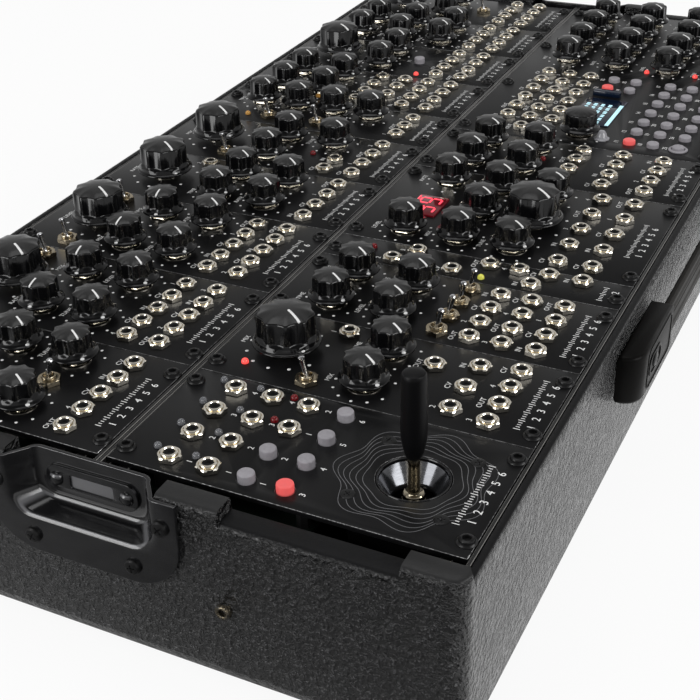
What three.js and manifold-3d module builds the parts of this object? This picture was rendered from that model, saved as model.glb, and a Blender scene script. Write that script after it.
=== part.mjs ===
import * as THREE from 'three';
import { mergeVertices } from 'three/addons/utils/BufferGeometryUtils.js';
import { RoundedBoxGeometry } from 'three/addons/geometries/RoundedBoxGeometry.js';
import { ConvexGeometry } from 'three/addons/geometries/ConvexGeometry.js';
import Module from 'manifold-3d';

// A two-row modular synthesizer in a coated plywood travel case.
// Millimetres, +X along the rows, +Y to the rear, +Z up. The origin is the centre of the
// flat underside, so the case rests on z = 0.

const wasm = await Module();
wasm.setup();

// Driving dimensions of the rack
const hpPitch = 5.08;
const rowUnits = 104;
const panelHeight = 128.5;
const rowGap = 4;
const rowPitch = panelHeight + rowGap;
const panelThickness = 2;
const panelGap = 0.4;
const seatGap = 0.3;
const runningGap = 0.3;
const cutOverrun = 1;

// Driving dimensions of the case
const caseHeight = 75;
const panelDrop = 3;
const endWall = 9.4;
const sideWall = 8.7;
const floorThickness = 9;
const endSpace = 5.6;
const frontMargin = 5.6;
const caseRadius = 10;
const caseRoundSteps = 2;
const wallLip = 3.5;

// Derived planes
const panelFace = caseHeight - panelDrop;
const panelUnder = panelFace - panelThickness;
const rowLength = rowUnits * hpPitch;
const innerLength = rowLength + 2 * endSpace;
const caseLength = innerLength + 2 * endWall;
const rowsDepth = rowPitch + panelHeight;
const caseDepth = rowsDepth + 2 * frontMargin;
const innerDepth = caseDepth - 2 * sideWall;

// Colours and surface values of the finishes
const finish = {
  coating: [0x1c1c1d, 0.82, 0.0],
  panel: [0x17181a, 0.5, 0.35],
  rail: [0x0e0e10, 0.28, 0.7],
  knob: [0x0c0c0d, 0.3, 0.0],
  steel: [0x1a1b1d, 0.38, 0.6],
  rubber: [0x141414, 0.75, 0.0],
  chrome: [0xb9b6ae, 0.22, 1.0],
  button: [0x8f8c92, 0.5, 0.0],
  litRed: [0xe2564f, 0.45, 0.0],
  board: [0x16321f, 0.6, 0.1],
};

const synthesizer = new THREE.Group();

function material(kind) {
  const [color, roughness, metalness] = finish[kind];
  return new THREE.MeshStandardMaterial({ color, roughness, metalness });
}

// Turns a closed geometry into a solid, dropping the slivers at a lathe's axis
function solid(geometry) {
  const bare = geometry.clone();
  bare.deleteAttribute('normal');
  bare.deleteAttribute('uv');
  const merged = mergeVertices(bare);
  const place = merged.attributes.position;
  const corners = [];
  let volume = 0;
  const a = new THREE.Vector3();
  const b = new THREE.Vector3();
  const c = new THREE.Vector3();
  for (let i = 0; i < merged.index.count; i += 3) {
    const tri = [0, 1, 2].map((k) => merged.index.getX(i + k));
    if (tri[0] !== tri[1] && tri[1] !== tri[2] && tri[2] !== tri[0]) {
      corners.push(tri);
      a.fromBufferAttribute(place, tri[0]);
      b.fromBufferAttribute(place, tri[1]);
      c.fromBufferAttribute(place, tri[2]);
      volume += a.dot(b.cross(c));
    }
  }
  const order = ([p, q, r]) => (volume < 0 ? [p, r, q] : [p, q, r]);
  const triVerts = new Uint32Array(corners.flatMap(order));
  return new wasm.Manifold(new wasm.Mesh({
    numProp: 3,
    vertProperties: new Float32Array(place.array),
    triVerts,
  }));
}

function meshOf(name, body, kind) {
  const made = body.getMesh();
  const geometry = new THREE.BufferGeometry();
  geometry.setAttribute('position', new THREE.BufferAttribute(made.vertProperties, 3));
  geometry.setIndex(new THREE.BufferAttribute(made.triVerts, 1));
  geometry.computeVertexNormals();
  const mesh = new THREE.Mesh(geometry, material(kind));
  mesh.name = name;
  return mesh;
}

// A box from its lowest to its highest corner
function box(low, high) {
  const size = high.map((value, axis) => value - low[axis]);
  const middle = high.map((value, axis) => (value + low[axis]) / 2);
  return solid(new THREE.BoxGeometry(...size).translate(...middle));
}

// An upright prism with a round or many-sided section
function post(x, y, bottom, top, radius, sides, turn = 0) {
  const shape = new THREE.CylinderGeometry(radius, radius, top - bottom, sides);
  shape.rotateX(Math.PI / 2).rotateZ(turn);
  return solid(shape.translate(x, y, (top + bottom) / 2));
}

// An upright hole whose flats, not its corners, stand at the radius
function bore(x, y, bottom, top, radius, sides) {
  return post(x, y, bottom, top, radius / Math.cos(Math.PI / sides), sides);
}

// A body of revolution about an upright axis, from [radius, height] pairs
function turned(profile, sides) {
  const points = profile.map(([radius, height]) => new THREE.Vector2(radius, height));
  return solid(new THREE.LatheGeometry(points, sides).rotateX(Math.PI / 2));
}

function extruded(points, length) {
  const shape = new THREE.Shape(points.map(([x, y]) => new THREE.Vector2(x, y)));
  return new THREE.ExtrudeGeometry(shape, { depth: length, bevelEnabled: false });
}

function joined(first, others) {
  return others.reduce((sum, next) => sum.add(next), first);
}

function cut(first, others) {
  return others.reduce((rest, next) => rest.subtract(next), first);
}

// The rails: four black aluminium extrusions that carry the panels' ends
const railDepth = 12;
const railWidth = 10.4;
const railLip = 1.4;
const railLipOffset = 1.8;
const railLipDrop = 0.2;
const railSlot = 3.6;
const railSlotDepth = 6;
const screwInset = 3;
const railEndGap = 0.9;
const railTop = panelUnder - seatGap;

function rail(name, rowEdge, outward) {
  const outer = -railLipOffset;
  const inner = outer + railWidth;
  const lipTop = panelFace - railLipDrop;
  const slotLow = screwInset - railSlot / 2;
  const slotHigh = screwInset + railSlot / 2;
  const profile = [
    [outer, railTop - railDepth], [inner, railTop - railDepth], [inner, railTop], [slotHigh, railTop],
    [slotHigh, railTop - railSlotDepth], [slotLow, railTop - railSlotDepth], [slotLow, railTop],
    [outer + railLip, railTop], [outer + railLip, lipTop], [outer, lipTop],
  ].map(([y, z]) => [rowEdge - outward * y, z]);
  const length = innerLength - 2 * railEndGap;
  const bar = extruded(profile, length);
  bar.translate(0, 0, -length / 2).rotateY(Math.PI / 2).rotateX(Math.PI / 2);
  synthesizer.add(meshOf(name, solid(bar), 'rail'));
}

const frontEdge = -rowsDepth / 2;
const rowEdges = [frontEdge, frontEdge + rowPitch];
rail('rail_front', rowEdges[0], -1);
rail('rail_middle_front', rowEdges[0] + panelHeight, 1);
rail('rail_middle_rear', rowEdges[1], -1);
rail('rail_rear', rowEdges[1] + panelHeight, 1);

// The latch keepers: black pressed steel dishes let into both end walls
const keeperSheet = 1.5;
const keeperHalfWidth = 39;
const keeperTop = panelFace + 2;
const keeperDrop = 37;
const keeperCorner = 20;
const keeperCornerSteps = 4;
const dishHalfMouth = 27.5;
const dishHalfBack = 20.5;
const dishFall = 21;
const dishChamfer = 7;
const dishDepth = 10.2;
const plateHalf = 18;
const plateHigh = 10;
const plateThick = 1.4;
const plateDrop = 5.5;
const slotHalf = 8.5;
const slotHigh = 5;
const rivetSpan = 14.2;
const rivetRadius = 2.6;
const rivetHeight = 1.6;
const rivetSides = 8;
const keeperFace = caseLength / 2 + seatGap + keeperSheet;

// The dish's hollow as a hull between its mouth and its back, grown by a wall
function dishBody(wall, mouthX, backX) {
  const ring = (half, x) => {
    const low = keeperTop - dishFall - wall;
    const side = half + wall;
    return [
      [x, -side, keeperTop], [x, -side, low + dishChamfer], [x, -side + dishChamfer, low],
      [x, side - dishChamfer, low], [x, side, low + dishChamfer], [x, side, keeperTop],
    ];
  };
  const points = [...ring(dishHalfMouth, mouthX), ...ring(dishHalfBack, backX)];
  return solid(new ConvexGeometry(points.map((p) => new THREE.Vector3(...p))));
}

function latchKeeper(name, side) {
  const wallFace = caseLength / 2 + seatGap;
  const back = keeperFace - dishDepth;
  const corners = [[-keeperHalfWidth, 0], [keeperHalfWidth, 0]];
  for (const end of [1, -1]) {
    for (let step = 0; step <= keeperCornerSteps; step += 1) {
      const turn = (end > 0 ? step : keeperCornerSteps - step) * (Math.PI / 2 / keeperCornerSteps);
      corners.push([
        end * (keeperHalfWidth - keeperCorner + keeperCorner * Math.cos(turn)),
        -keeperDrop + keeperCorner - keeperCorner * Math.sin(turn),
      ]);
    }
  }
  const flange = extruded(corners, keeperSheet);
  flange.rotateX(Math.PI / 2).rotateZ(Math.PI / 2).translate(wallFace, 0, keeperTop);
  const outer = dishBody(keeperSheet, keeperFace, back - keeperSheet);
  const inner = dishBody(0, keeperFace + cutOverrun, back);
  const open = box(
    [back, -dishHalfBack, keeperTop - cutOverrun],
    [keeperFace, dishHalfBack, keeperTop + cutOverrun],
  );
  const plateTop = keeperTop - plateDrop;
  const plateFront = back + plateThick;
  const plate = box(
    [back - keeperSheet / 2, -plateHalf, plateTop - plateHigh],
    [plateFront, plateHalf, plateTop],
  );
  const rivets = [-rivetSpan, rivetSpan].map((y) => solid(
    new THREE.CylinderGeometry(rivetRadius / 2, rivetRadius, rivetHeight, rivetSides)
      .rotateZ(-Math.PI / 2)
      .translate(plateFront + rivetHeight / 2 - runningGap, y, plateTop - plateHigh / 2),
  ));
  const slot = box(
    [back, -slotHalf, plateTop - plateHigh / 2 - slotHigh / 2],
    [plateFront + cutOverrun, slotHalf, plateTop - plateHigh / 2 + slotHigh / 2],
  );
  const pressed = joined(cut(joined(solid(flange), [outer]), [inner, open]), [plate, ...rivets]);
  const keeper = meshOf(name, cut(pressed, [slot]), 'steel');
  keeper.rotation.z = side > 0 ? 0 : Math.PI;
  synthesizer.add(keeper);
}
latchKeeper('latch_keeper_left', -1);
latchKeeper('latch_keeper_right', 1);

// The case shell: one glued and coated plywood box with notched ends
const notchDepth = 4.2;
const notchStart = 21.5;
const notchLength = 61;
const pocketGap = 0.6;
const insertRadius = 2.6;
const insertDepth = 7;
const insertOffset = 53;
const insertDrop = 37;
const insertSides = 10;
const inletLength = 64;
const inletHeight = 30;
const inletX = 190;
const inletRailGap = 6.7;
const inletZ = railTop - railDepth - inletRailGap - inletHeight / 2;
const inletPlate = 2;
const inletBody = 52;
const inletBodyHigh = 22;

function caseShell() {
  const block = new RoundedBoxGeometry(caseLength, caseDepth, 2 * caseHeight, caseRoundSteps, caseRadius);
  const halfX = innerLength / 2;
  const halfY = innerDepth / 2;
  const ledge = railTop - railDepth - seatGap;
  const railSpace = caseDepth / 2 - wallLip;
  const above = caseHeight + cutOverrun;
  const tools = [
    box([-caseLength, -caseDepth, caseHeight], [caseLength, caseDepth, 2 * caseHeight]),
    box([-halfX, -halfY, floorThickness], [halfX, halfY, above]),
    box([-halfX, -railSpace, ledge], [halfX, railSpace, above]),
    box([-halfX, -caseDepth, panelFace], [halfX, caseDepth, above]),
  ];
  for (const side of [-1, 1]) {
    const xs = [side * (halfX - cutOverrun), side * (caseLength / 2 + cutOverrun)].sort((p, q) => p - q);
    for (const end of [-1, 1]) {
      const start = caseDepth / 2 - notchStart;
      const ys = [end * start, end * (start - notchLength)].sort((p, q) => p - q);
      tools.push(box([xs[0], ys[0], caseHeight - notchDepth], [xs[1], ys[1], above]));
      const hole = new THREE.CylinderGeometry(insertRadius, insertRadius, 2 * insertDepth, insertSides);
      hole.rotateZ(Math.PI / 2);
      hole.translate(side * caseLength / 2, end * insertOffset, panelFace - insertDrop);
      tools.push(solid(hole));
    }
    const pocketHalf = dishHalfMouth + keeperSheet + pocketGap;
    const pocketLow = keeperTop - dishFall - keeperSheet - pocketGap;
    tools.push(box([xs[0], -pocketHalf, pocketLow], [xs[1], pocketHalf, above]));
  }
  const inletHalf = inletBody / 2 + pocketGap;
  const inletTall = inletBodyHigh / 2 + pocketGap;
  tools.push(box(
    [inletX - inletHalf, 0, inletZ - inletTall],
    [inletX + inletHalf, caseDepth, inletZ + inletTall],
  ));
  const recess = caseDepth / 2 - inletPlate - seatGap;
  const frameHalf = inletLength / 2 + seatGap;
  const frameTall = inletHeight / 2 + seatGap;
  tools.push(box(
    [inletX - frameHalf, recess, inletZ - frameTall],
    [inletX + frameHalf, caseDepth, inletZ + frameTall],
  ));
  const centred = solid(block.translate(0, 0, caseHeight));
  synthesizer.add(meshOf('case_shell', cut(centred, tools), 'coating'));
}
caseShell();

// The power inlet plate and its rocker, set into the rear wall
const socketRadius = 6;
const socketDepth = 9;
const socketShare = -0.28;
const rockerShare = 0.24;
const rockerLength = 19;
const rockerHigh = 12;
const rockerDepth = 8;
const rockerProud = 2.2;
const rockerPin = 1.5;
const rockerPinSides = 8;
const inletBodyDepth = 18;
const rockerAxisDrop = 3;
const rockerCheek = 1.6;
const rockerWell = 12;
const socketSides = 12;
const rockerTilt = 0.16;

function powerInlet() {
  const face = caseDepth / 2;
  const socketX = inletX + socketShare * inletLength;
  const rockerX = inletX + rockerShare * inletLength;
  const plate = box(
    [inletX - inletLength / 2, face - inletPlate, inletZ - inletHeight / 2],
    [inletX + inletLength / 2, face, inletZ + inletHeight / 2],
  );
  const body = box(
    [inletX - inletBody / 2, face - inletBodyDepth, inletZ - inletBodyHigh / 2],
    [inletX + inletBody / 2, face - inletPlate / 2, inletZ + inletBodyHigh / 2],
  );
  const socket = new THREE.CylinderGeometry(socketRadius, socketRadius, 2 * socketDepth, socketSides);
  const halfLength = rockerLength / 2 + rockerCheek / 2;
  const halfHigh = rockerHigh / 2 + runningGap;
  const well = box(
    [rockerX - halfLength, face - rockerWell, inletZ - halfHigh],
    [rockerX + halfLength, face + cutOverrun, inletZ + halfHigh],
  );
  const pinHole = rockerPin + runningGap;
  const pinLength = rockerHigh + 2 * rockerCheek;
  const pinBore = new THREE.CylinderGeometry(pinHole, pinHole, pinLength, rockerPinSides);
  pinBore.rotateX(Math.PI / 2).translate(rockerX, face - rockerAxisDrop, inletZ);
  const holes = [solid(socket.translate(socketX, face, inletZ)), well, solid(pinBore)];
  synthesizer.add(meshOf('power_inlet_plate', cut(joined(plate, [body]), holes), 'steel'));

  const tip = rockerLength / 2;
  const cap = extruded([
    [-tip, rockerAxisDrop], [0, rockerAxisDrop - runningGap], [tip, rockerAxisDrop],
    [tip, rockerAxisDrop - rockerProud], [0, -rockerDepth + rockerAxisDrop],
    [-tip, rockerAxisDrop - rockerProud],
  ].map(([x, y]) => [x, y + rockerProud / 2]), rockerHigh);
  const pinSpan = pinLength - 2 * runningGap;
  const pin = new THREE.CylinderGeometry(rockerPin, rockerPin, pinSpan, rockerPinSides);
  const rocker = meshOf('power_rocker', joined(
    solid(cap.translate(0, 0, -rockerHigh / 2)),
    [solid(pin.rotateX(Math.PI / 2))],
  ), 'button');
  rocker.position.set(rockerX, face - rockerAxisDrop, inletZ);
  rocker.rotation.z = rockerTilt;
  synthesizer.add(rocker);
}
powerInlet();

// The bus board on its spacers on the case floor
const busLength = 430;
const busWidth = 60;
const busThickness = 1.6;
const busLift = 6;
const busSpacerRadius = 3;
const busSpacerInset = 8;
const busSpacerSides = 6;
const headerLength = 20;
const headerWidth = 9;
const headerHigh = 9;
const headerRows = 2;
const headerCount = 6;

function busBoard() {
  const low = floorThickness + seatGap;
  const top = low + busLift + busThickness;
  const board = box([-busLength / 2, -busWidth / 2, low + busLift], [busLength / 2, busWidth / 2, top]);
  const pieces = [];
  const spacerX = busLength / 2 - busSpacerInset;
  const spacerY = busWidth / 2 - busSpacerInset;
  for (const x of [-spacerX, 0, spacerX]) {
    for (const y of [-spacerY, spacerY]) {
      pieces.push(post(x, y, low, low + busLift + busThickness / 2, busSpacerRadius, busSpacerSides));
    }
  }
  for (let row = 0; row < headerRows; row += 1) {
    for (let i = 0; i < headerCount; i += 1) {
      const x = ((i + 1) / (headerCount + 1) - 1 / 2) * busLength;
      const y = ((row + 1) / (headerRows + 1) - 1 / 2) * busWidth;
      pieces.push(box(
        [x - headerLength / 2, y - headerWidth / 2, top - busThickness / 2],
        [x + headerLength / 2, y + headerWidth / 2, top + headerHigh],
      ));
    }
  }
  synthesizer.add(meshOf('power_bus_board', joined(board, pieces), 'board'));
}
busBoard();

// The strap handle on the front wall, held by two screwed end caps
const capLength = 49;
const capDepth = 9.6;
const capHeight = 21;
const capNose = 6;
const capNoseSteps = 3;
const capTopDrop = 8;
const handleLength = 245;
const strapThickness = 4;
const strapHeight = 17;
const strapStandoff = 4.7;
const strapEntry = 26;
const capWell = 30;

function handle() {
  const wallFace = -caseDepth / 2;
  const top = panelFace - capTopDrop;
  const middle = top - capHeight / 2;
  const capBack = wallFace - seatGap;
  const strapIn = wallFace - strapStandoff;
  const strapOut = strapIn - strapThickness;
  const slack = 2 * runningGap;
  for (const [side, word] of [[-1, 'left'], [1, 'right']]) {
    const tip = handleLength / 2;
    const outline = [[tip - capLength, capBack], [tip, capBack]];
    for (let step = 0; step <= capNoseSteps; step += 1) {
      const turn = step * (Math.PI / 2 / capNoseSteps);
      outline.push([
        tip - capNose + capNose * Math.cos(turn),
        capBack - capDepth + capNose - capNose * Math.sin(turn),
      ]);
    }
    outline.push([tip - capLength, capBack - capDepth]);
    const shell = extruded(outline.map(([x, y]) => [side * x, y]), capHeight);
    shell.translate(0, 0, top - capHeight);
    const well = box(
      [Math.min(side * (tip - capLength - cutOverrun), side * (tip - capLength + capWell)),
        strapOut - slack, middle - strapHeight / 2 - slack],
      [Math.max(side * (tip - capLength - cutOverrun), side * (tip - capLength + capWell)),
        strapIn + slack, middle + strapHeight / 2 + slack],
    );
    synthesizer.add(meshOf(`handle_cap_${word}`, cut(solid(shell), [well]), 'rubber'));
  }
  const reach = handleLength / 2 - capLength + strapEntry;
  const strap = box(
    [-reach, strapOut, middle - strapHeight / 2],
    [reach, strapIn, middle + strapHeight / 2],
  );
  synthesizer.add(meshOf('handle_strap', strap, 'rubber'));
}
handle();

// Sizes of the controls on the panels, heights measured from the panel face
const knobLift = 3.2;
const shaftRadius = 3;
const shaftDepth = 8;
const knobSizes = {
  small: { skirt: 9.5, skirtHigh: 5.6, foot: 7.7, crown: 7.4, high: 13.9, dome: 1.2 },
  large: { skirt: 13.2, skirtHigh: 6.2, foot: 11.4, crown: 11, high: 17.8, dome: 1.8 },
  encoder: { skirt: 10, skirtHigh: 5.4, foot: 8.3, crown: 8, high: 13.6, dome: 1.2 },
};
const movingKnobSides = 12;
const movingButtonSides = 8;
const fixedKnobSides = 8;
const holeSides = 8;
const potHalf = 5.5;
const jackNut = 4.7;
const jackHigh = 2.6;
const jackBore = 1.9;
const jackSides = 6;
const jackBoreSides = 5;
const jackBoreDepth = 1.2;
const buttonRadius = 3;
const buttonHigh = 3;
const buttonFlange = 4.2;
const buttonFlangeHigh = 1.2;
const buttonSwitchHalf = 2.6;
const buttonTravel = 0.6;
const toggleNut = 4.7;
const toggleNutHigh = 1.6;
const toggleBush = 2.7;
const toggleBushHigh = 3.1;
const toggleBore = 2.1;
const togglePivot = 1.4;
const toggleBall = 1.7;
const toggleNeck = 0.8;
const toggleTip = 1.1;
const toggleReach = 9.2;
const toggleLean = 12 * (Math.PI / 180);
const leansToFront = /^(amplifier|wavetable)_toggle/;
const toggleSides = 8;
const boardDrop = 10;
const boardThickness = 1.6;
const boardInset = 2;
const boardFootShare = 0.1;
const boardHeadShare = 0.93;
const spacerHalf = 1.6;
const spacerInset = 3.8;
const displayHigh = 1;

// A turning knob with its shaft, and the plainer outline of a knob that stays part of its panel
function turningKnob(size) {
  return [
    [0, size.high], [size.crown, size.high - size.dome], [size.foot, size.skirtHigh],
    [size.skirt, size.skirtHigh - size.dome], [size.skirt, knobLift], [shaftRadius, knobLift],
    [shaftRadius, -shaftDepth], [0, -shaftDepth],
  ];
}

function seatedKnob(size) {
  return [
    [0, size.high], [size.crown, size.high - size.dome], [size.foot, size.skirtHigh],
    [size.skirt, -panelThickness / 2], [0, -panelThickness / 2],
  ];
}

// What each kind of control adds to its panel, and the hole that its moving piece needs
function controlOnPanel(kind, x, y, moving) {
  const adds = [];
  const cuts = [];
  const under = -boardDrop - boardThickness / 2;
  if (kind === 'jack') {
    adds.push(post(x, y, -panelThickness / 2, jackHigh, jackNut, jackSides));
    cuts.push(post(x, y, -jackBoreDepth, jackHigh + cutOverrun, jackBore, jackBoreSides));
  } else if (knobSizes[kind] && moving) {
    adds.push(box([x - potHalf, y - potHalf, under], [x + potHalf, y + potHalf, -panelThickness / 2]));
    cuts.push(bore(x, y, -shaftDepth - runningGap, cutOverrun, shaftRadius + runningGap, holeSides));
  } else if (knobSizes[kind]) {
    adds.push(turned(seatedKnob(knobSizes[kind]), fixedKnobSides).translate([x, y, 0]));
  } else if (kind === 'button') {
    if (moving) {
      const switchTop = -panelThickness - runningGap - buttonFlangeHigh - buttonTravel - runningGap;
      adds.push(box(
        [x - buttonSwitchHalf, y - buttonSwitchHalf, under],
        [x + buttonSwitchHalf, y + buttonSwitchHalf, switchTop],
      ));
      const foot = -panelThickness - cutOverrun;
      cuts.push(bore(x, y, foot, cutOverrun, buttonRadius + runningGap, movingButtonSides));
    } else {
      adds.push(post(x, y, -panelThickness / 2, buttonHigh, buttonRadius, jackSides));
    }
  } else if (kind === 'toggle') {
    adds.push(post(x, y, -panelThickness / 2, toggleNutHigh, toggleNut, jackSides));
    adds.push(post(x, y, -panelThickness / 2, toggleBushHigh, toggleBush, toggleSides));
    if (moving) {
      const wellFoot = togglePivot - toggleBall - runningGap;
      cuts.push(bore(x, y, wellFoot, toggleBushHigh + cutOverrun, toggleBore, toggleSides));
    } else {
      const lever = toggleLever(toggleBushHigh / 2, jackSides);
      adds.push(lever.rotate([-toggleLean * (180 / Math.PI), 0, 0]).translate([x, y, togglePivot]));
    }
  }
  return { adds, cuts };
}

// The bat-shaped lever of a toggle, standing on its pivot
function toggleLever(foot, sides) {
  return turned([
    [0, toggleReach], [toggleTip, toggleReach - toggleTip / 2], [toggleNeck, foot], [0, foot],
  ], sides);
}

function movingControl(name, kind) {
  if (knobSizes[kind]) {
    return meshOf(name, turned(turningKnob(knobSizes[kind]), movingKnobSides), 'knob');
  }
  if (kind === 'toggle') {
    const ball = new THREE.SphereGeometry(toggleBall, toggleSides, toggleSides / 2);
    const bat = joined(solid(ball.rotateX(Math.PI / 2)), [toggleLever(0, toggleSides)]);
    const lever = meshOf(name, bat, 'chrome');
    lever.position.z = togglePivot;
    lever.rotation.x = leansToFront.test(name) ? toggleLean : -toggleLean;
    return lever;
  }
  const flangeTop = -panelThickness - runningGap;
  return meshOf(name, turned([
    [0, buttonHigh], [buttonRadius, buttonHigh], [buttonRadius, flangeTop], [buttonFlange, flangeTop],
    [buttonFlange, flangeTop - buttonFlangeHigh], [0, flangeTop - buttonFlangeHigh],
  ], movingButtonSides), name.endsWith('lit') ? 'litRed' : 'button');
}

// Every pair of a list of across shares with a list of up shares
function grid(acrossShares, upShares) {
  return upShares.flatMap((v) => acrossShares.map((u) => [u, v]));
}

const jackRowShare = 0.1494;
const secondRowShare = 0.2638;
const fourShares = [-0.357, -0.119, 0.119, 0.357];
const fiveShares = [-0.361, -0.18, 0, 0.18, 0.361];
const pairShares = [-0.24, 0.24];

// The modules from left to right. Places are shares of the panel's width, from its middle,
// and of its height, from its lower edge. A control with names moves on its own.
const moduleShares = [
  {
    name: 'joystick_module', row: 0, units: 12, boardShare: 0.42,
    jack: [...grid([-0.369, -0.123, 0.123, 0.369], [0.845, 0.728]), ...grid([0.123, 0.369], [0.617])],
    button: [...grid([-0.369, -0.123], [0.617]), ...grid([-0.369, -0.123, 0.123, 0.369], [0.506])],
    names: { button: ['joystick_button_mode', 'joystick_button_record', 'joystick_button_1_lit',
      'joystick_button_2', 'joystick_button_3', 'joystick_button_4'] },
  },
  {
    name: 'modulator_module', row: 0, units: 10,
    large: [[0, 0.82]], small: grid([-0.236, 0.236], [0.529]), toggle: [[-0.354, 0.685]],
    jack: [[0.36, 0.685], [0.19, 0.386], ...grid([-0.29, 0, 0.29], [secondRowShare]),
      ...grid([-0.343, -0.114, 0.114, 0.343], [jackRowShare])],
    names: { large: ['modulator_rate_knob'], small: ['modulator_level_knob', 'modulator_crush_knob'],
      toggle: ['modulator_toggle'] },
  },
  {
    name: 'quad_amplifier_module', row: 0, units: 10,
    small: grid(pairShares, [0.822, 0.617]), toggle: grid([-0.345, -0.115, 0.115, 0.345], [0.455]),
    jack: grid([-0.345, -0.115, 0.115, 0.345], [0.353, 0.253, jackRowShare]),
    names: { small: ['amplifier_knob_1', 'amplifier_knob_2', 'amplifier_knob_3', 'amplifier_knob_4'],
      toggle: ['amplifier_toggle_1', 'amplifier_toggle_2', 'amplifier_toggle_3', 'amplifier_toggle_4'] },
  },
  {
    name: 'mixer_splitter_module', row: 0, units: 4,
    jack: [...grid([-0.25], [0.762, 0.555, 0.292]),
      ...grid([0.26], [0.708, 0.4545, 0.356, 0.258, jackRowShare])],
  },
  {
    name: 'effect_module', row: 0, units: 16,
    large: [[0, 0.4327]],
    small: [...grid([-0.332, 0.332], [0.813, 0.6226, 0.4327]), [0, 0.6226]],
    jack: grid([-0.398, -0.199, 0, 0.199, 0.398], [secondRowShare, jackRowShare]),
    names: { large: ['effect_mix_knob'] },
    displayShares: [-0.14, 0.1, 0.76, 0.87],
  },
  {
    name: 'voltage_tools_module', row: 0, units: 10,
    small: grid([-0.246, 0.246], [0.813, 0.6148]),
    jack: grid([-0.354, -0.118, 0.118, 0.354], [0.453, 0.302, jackRowShare]),
  },
  {
    name: 'sequencer_module', row: 0, units: 42,
    jack: [...grid([-0.38, -0.316, -0.252, -0.188, -0.124, -0.06], [0.845, 0.752, 0.66]), [-0.445, 0.752]],
    encoder: [[-0.433, 0.52]],
    button: [...grid([-0.464, -0.404, -0.339, -0.275, -0.212, -0.145, -0.082], [0.316, 0.225, 0.129]),
      ...grid([-0.13, -0.067], [0.553, 0.463])],
    small: grid([0.06, 0.18, 0.3, 0.42], [0.82, 0.6, 0.38, 0.16]),
    displayShares: [-0.369, -0.186, 0.43, 0.605],
    names: { encoder: ['sequencer_encoder'] },
  },
  {
    name: 'wavetable_oscillator_module', row: 1, units: 12,
    large: [[0, 0.84]], small: grid([-0.274, 0.274], [0.331, 0.53]), toggle: [[0, 0.327]],
    jack: grid(fiveShares, [jackRowShare]),
    names: {
      small: ['wavetable_knob_left', 'wavetable_knob_right', null, null],
      toggle: ['wavetable_toggle'],
    },
  },
  {
    name: 'oscillator_a_module', row: 1, units: 12,
    large: [[0, 0.8]], small: grid([-0.2526, 0.2526], [0.4163, 0.615]),
    toggle: grid([-0.37, 0.37], [0.82]), jack: grid(fiveShares, [secondRowShare, jackRowShare]),
    names: { large: ['oscillator_a_tuning_knob'] },
  },
  {
    name: 'oscillator_b_module', row: 1, units: 12,
    large: [[0, 0.8]], small: grid([-0.2526, 0.2526], [0.4163, 0.615]),
    toggle: grid([-0.37, 0.37], [0.82]), jack: grid(fiveShares, [secondRowShare, jackRowShare]),
    names: { large: ['oscillator_b_tuning_knob'] },
  },
  {
    name: 'multimode_filter_module', row: 1, units: 10,
    large: [[0, 0.805]], small: grid(pairShares, [0.327, 0.525]),
    jack: [...grid(fourShares, [jackRowShare]), [0.355, 0.69]],
    names: { large: ['multimode_filter_cutoff_knob'] },
  },
  {
    name: 'lowpass_filter_module', row: 1, units: 10,
    large: [[0, 0.8]], small: [...grid(pairShares, [0.529]), [0.24, 0.331]], toggle: [[-0.325, 0.695]],
    jack: [...grid(fourShares, [jackRowShare]), ...grid([-0.357, -0.119], [secondRowShare])],
    names: { large: ['lowpass_filter_cutoff_knob'] },
  },
  {
    name: 'envelope_module', row: 1, units: 8,
    small: grid([0.2], [0.82, 0.655, 0.49, 0.325]), toggle: grid([-0.27], [0.72, 0.5]),
    jack: grid([-0.27, 0, 0.27], [jackRowShare]),
  },
  {
    name: 'matrix_mixer_module', row: 1, units: 10,
    small: grid(pairShares, [0.82, 0.63]), jack: grid(fourShares, [0.467, 0.361, 0.255, jackRowShare]),
  },
  {
    name: 'slow_oscillator_module', row: 1, units: 10,
    large: [[0, 0.8]], small: grid(pairShares, [0.55]), button: [[0, 0.4]],
    jack: grid(fourShares, [secondRowShare, jackRowShare]),
  },
  {
    name: 'delay_module', row: 1, units: 10,
    small: grid(pairShares, [0.82, 0.62, 0.42]), jack: grid(fourShares, [secondRowShare, jackRowShare]),
  },
  {
    name: 'output_module', row: 1, units: 10,
    large: [[0, 0.8]], small: grid(pairShares, [0.55]), toggle: [[0, 0.39]],
    jack: grid(fourShares, [secondRowShare, jackRowShare]),
  },
];

// The joystick's parts, about its pivot below the panel
const stickShare = 0.2335;
const stickHole = 12.5;
const stickHoleSides = 20;
const dishLow = 7.5;
const dishThroat = 7.6;
const dishSheet = 1;
const housingHalf = 17;
const housingWall = 2;
const housingDepth = 27;
const pivotDrop = 14;
const ringOuter = 11;
const ringInner = 7.5;
const ringHalf = 2.2;
const pinRadius = 1.4;
const pinSides = 8;
const pinGrip = 0.8;
const hubRadius = 5.2;
const stickRod = 2.1;
const collarRadius = 3;
const collarFoot = 5.5;
const collarHigh = 2.6;
const collarBevel = 0.6;
const gripFoot = 8.6;
const gripFootRadius = 2.8;
const gripTaperHigh = 17;
const gripRadius = 4.4;
const gripBellyHigh = 27;
const gripTop = 40.6;
const gripTopRadius = 4;
const gripRound = 0.8;
const stickSides = 12;

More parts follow.
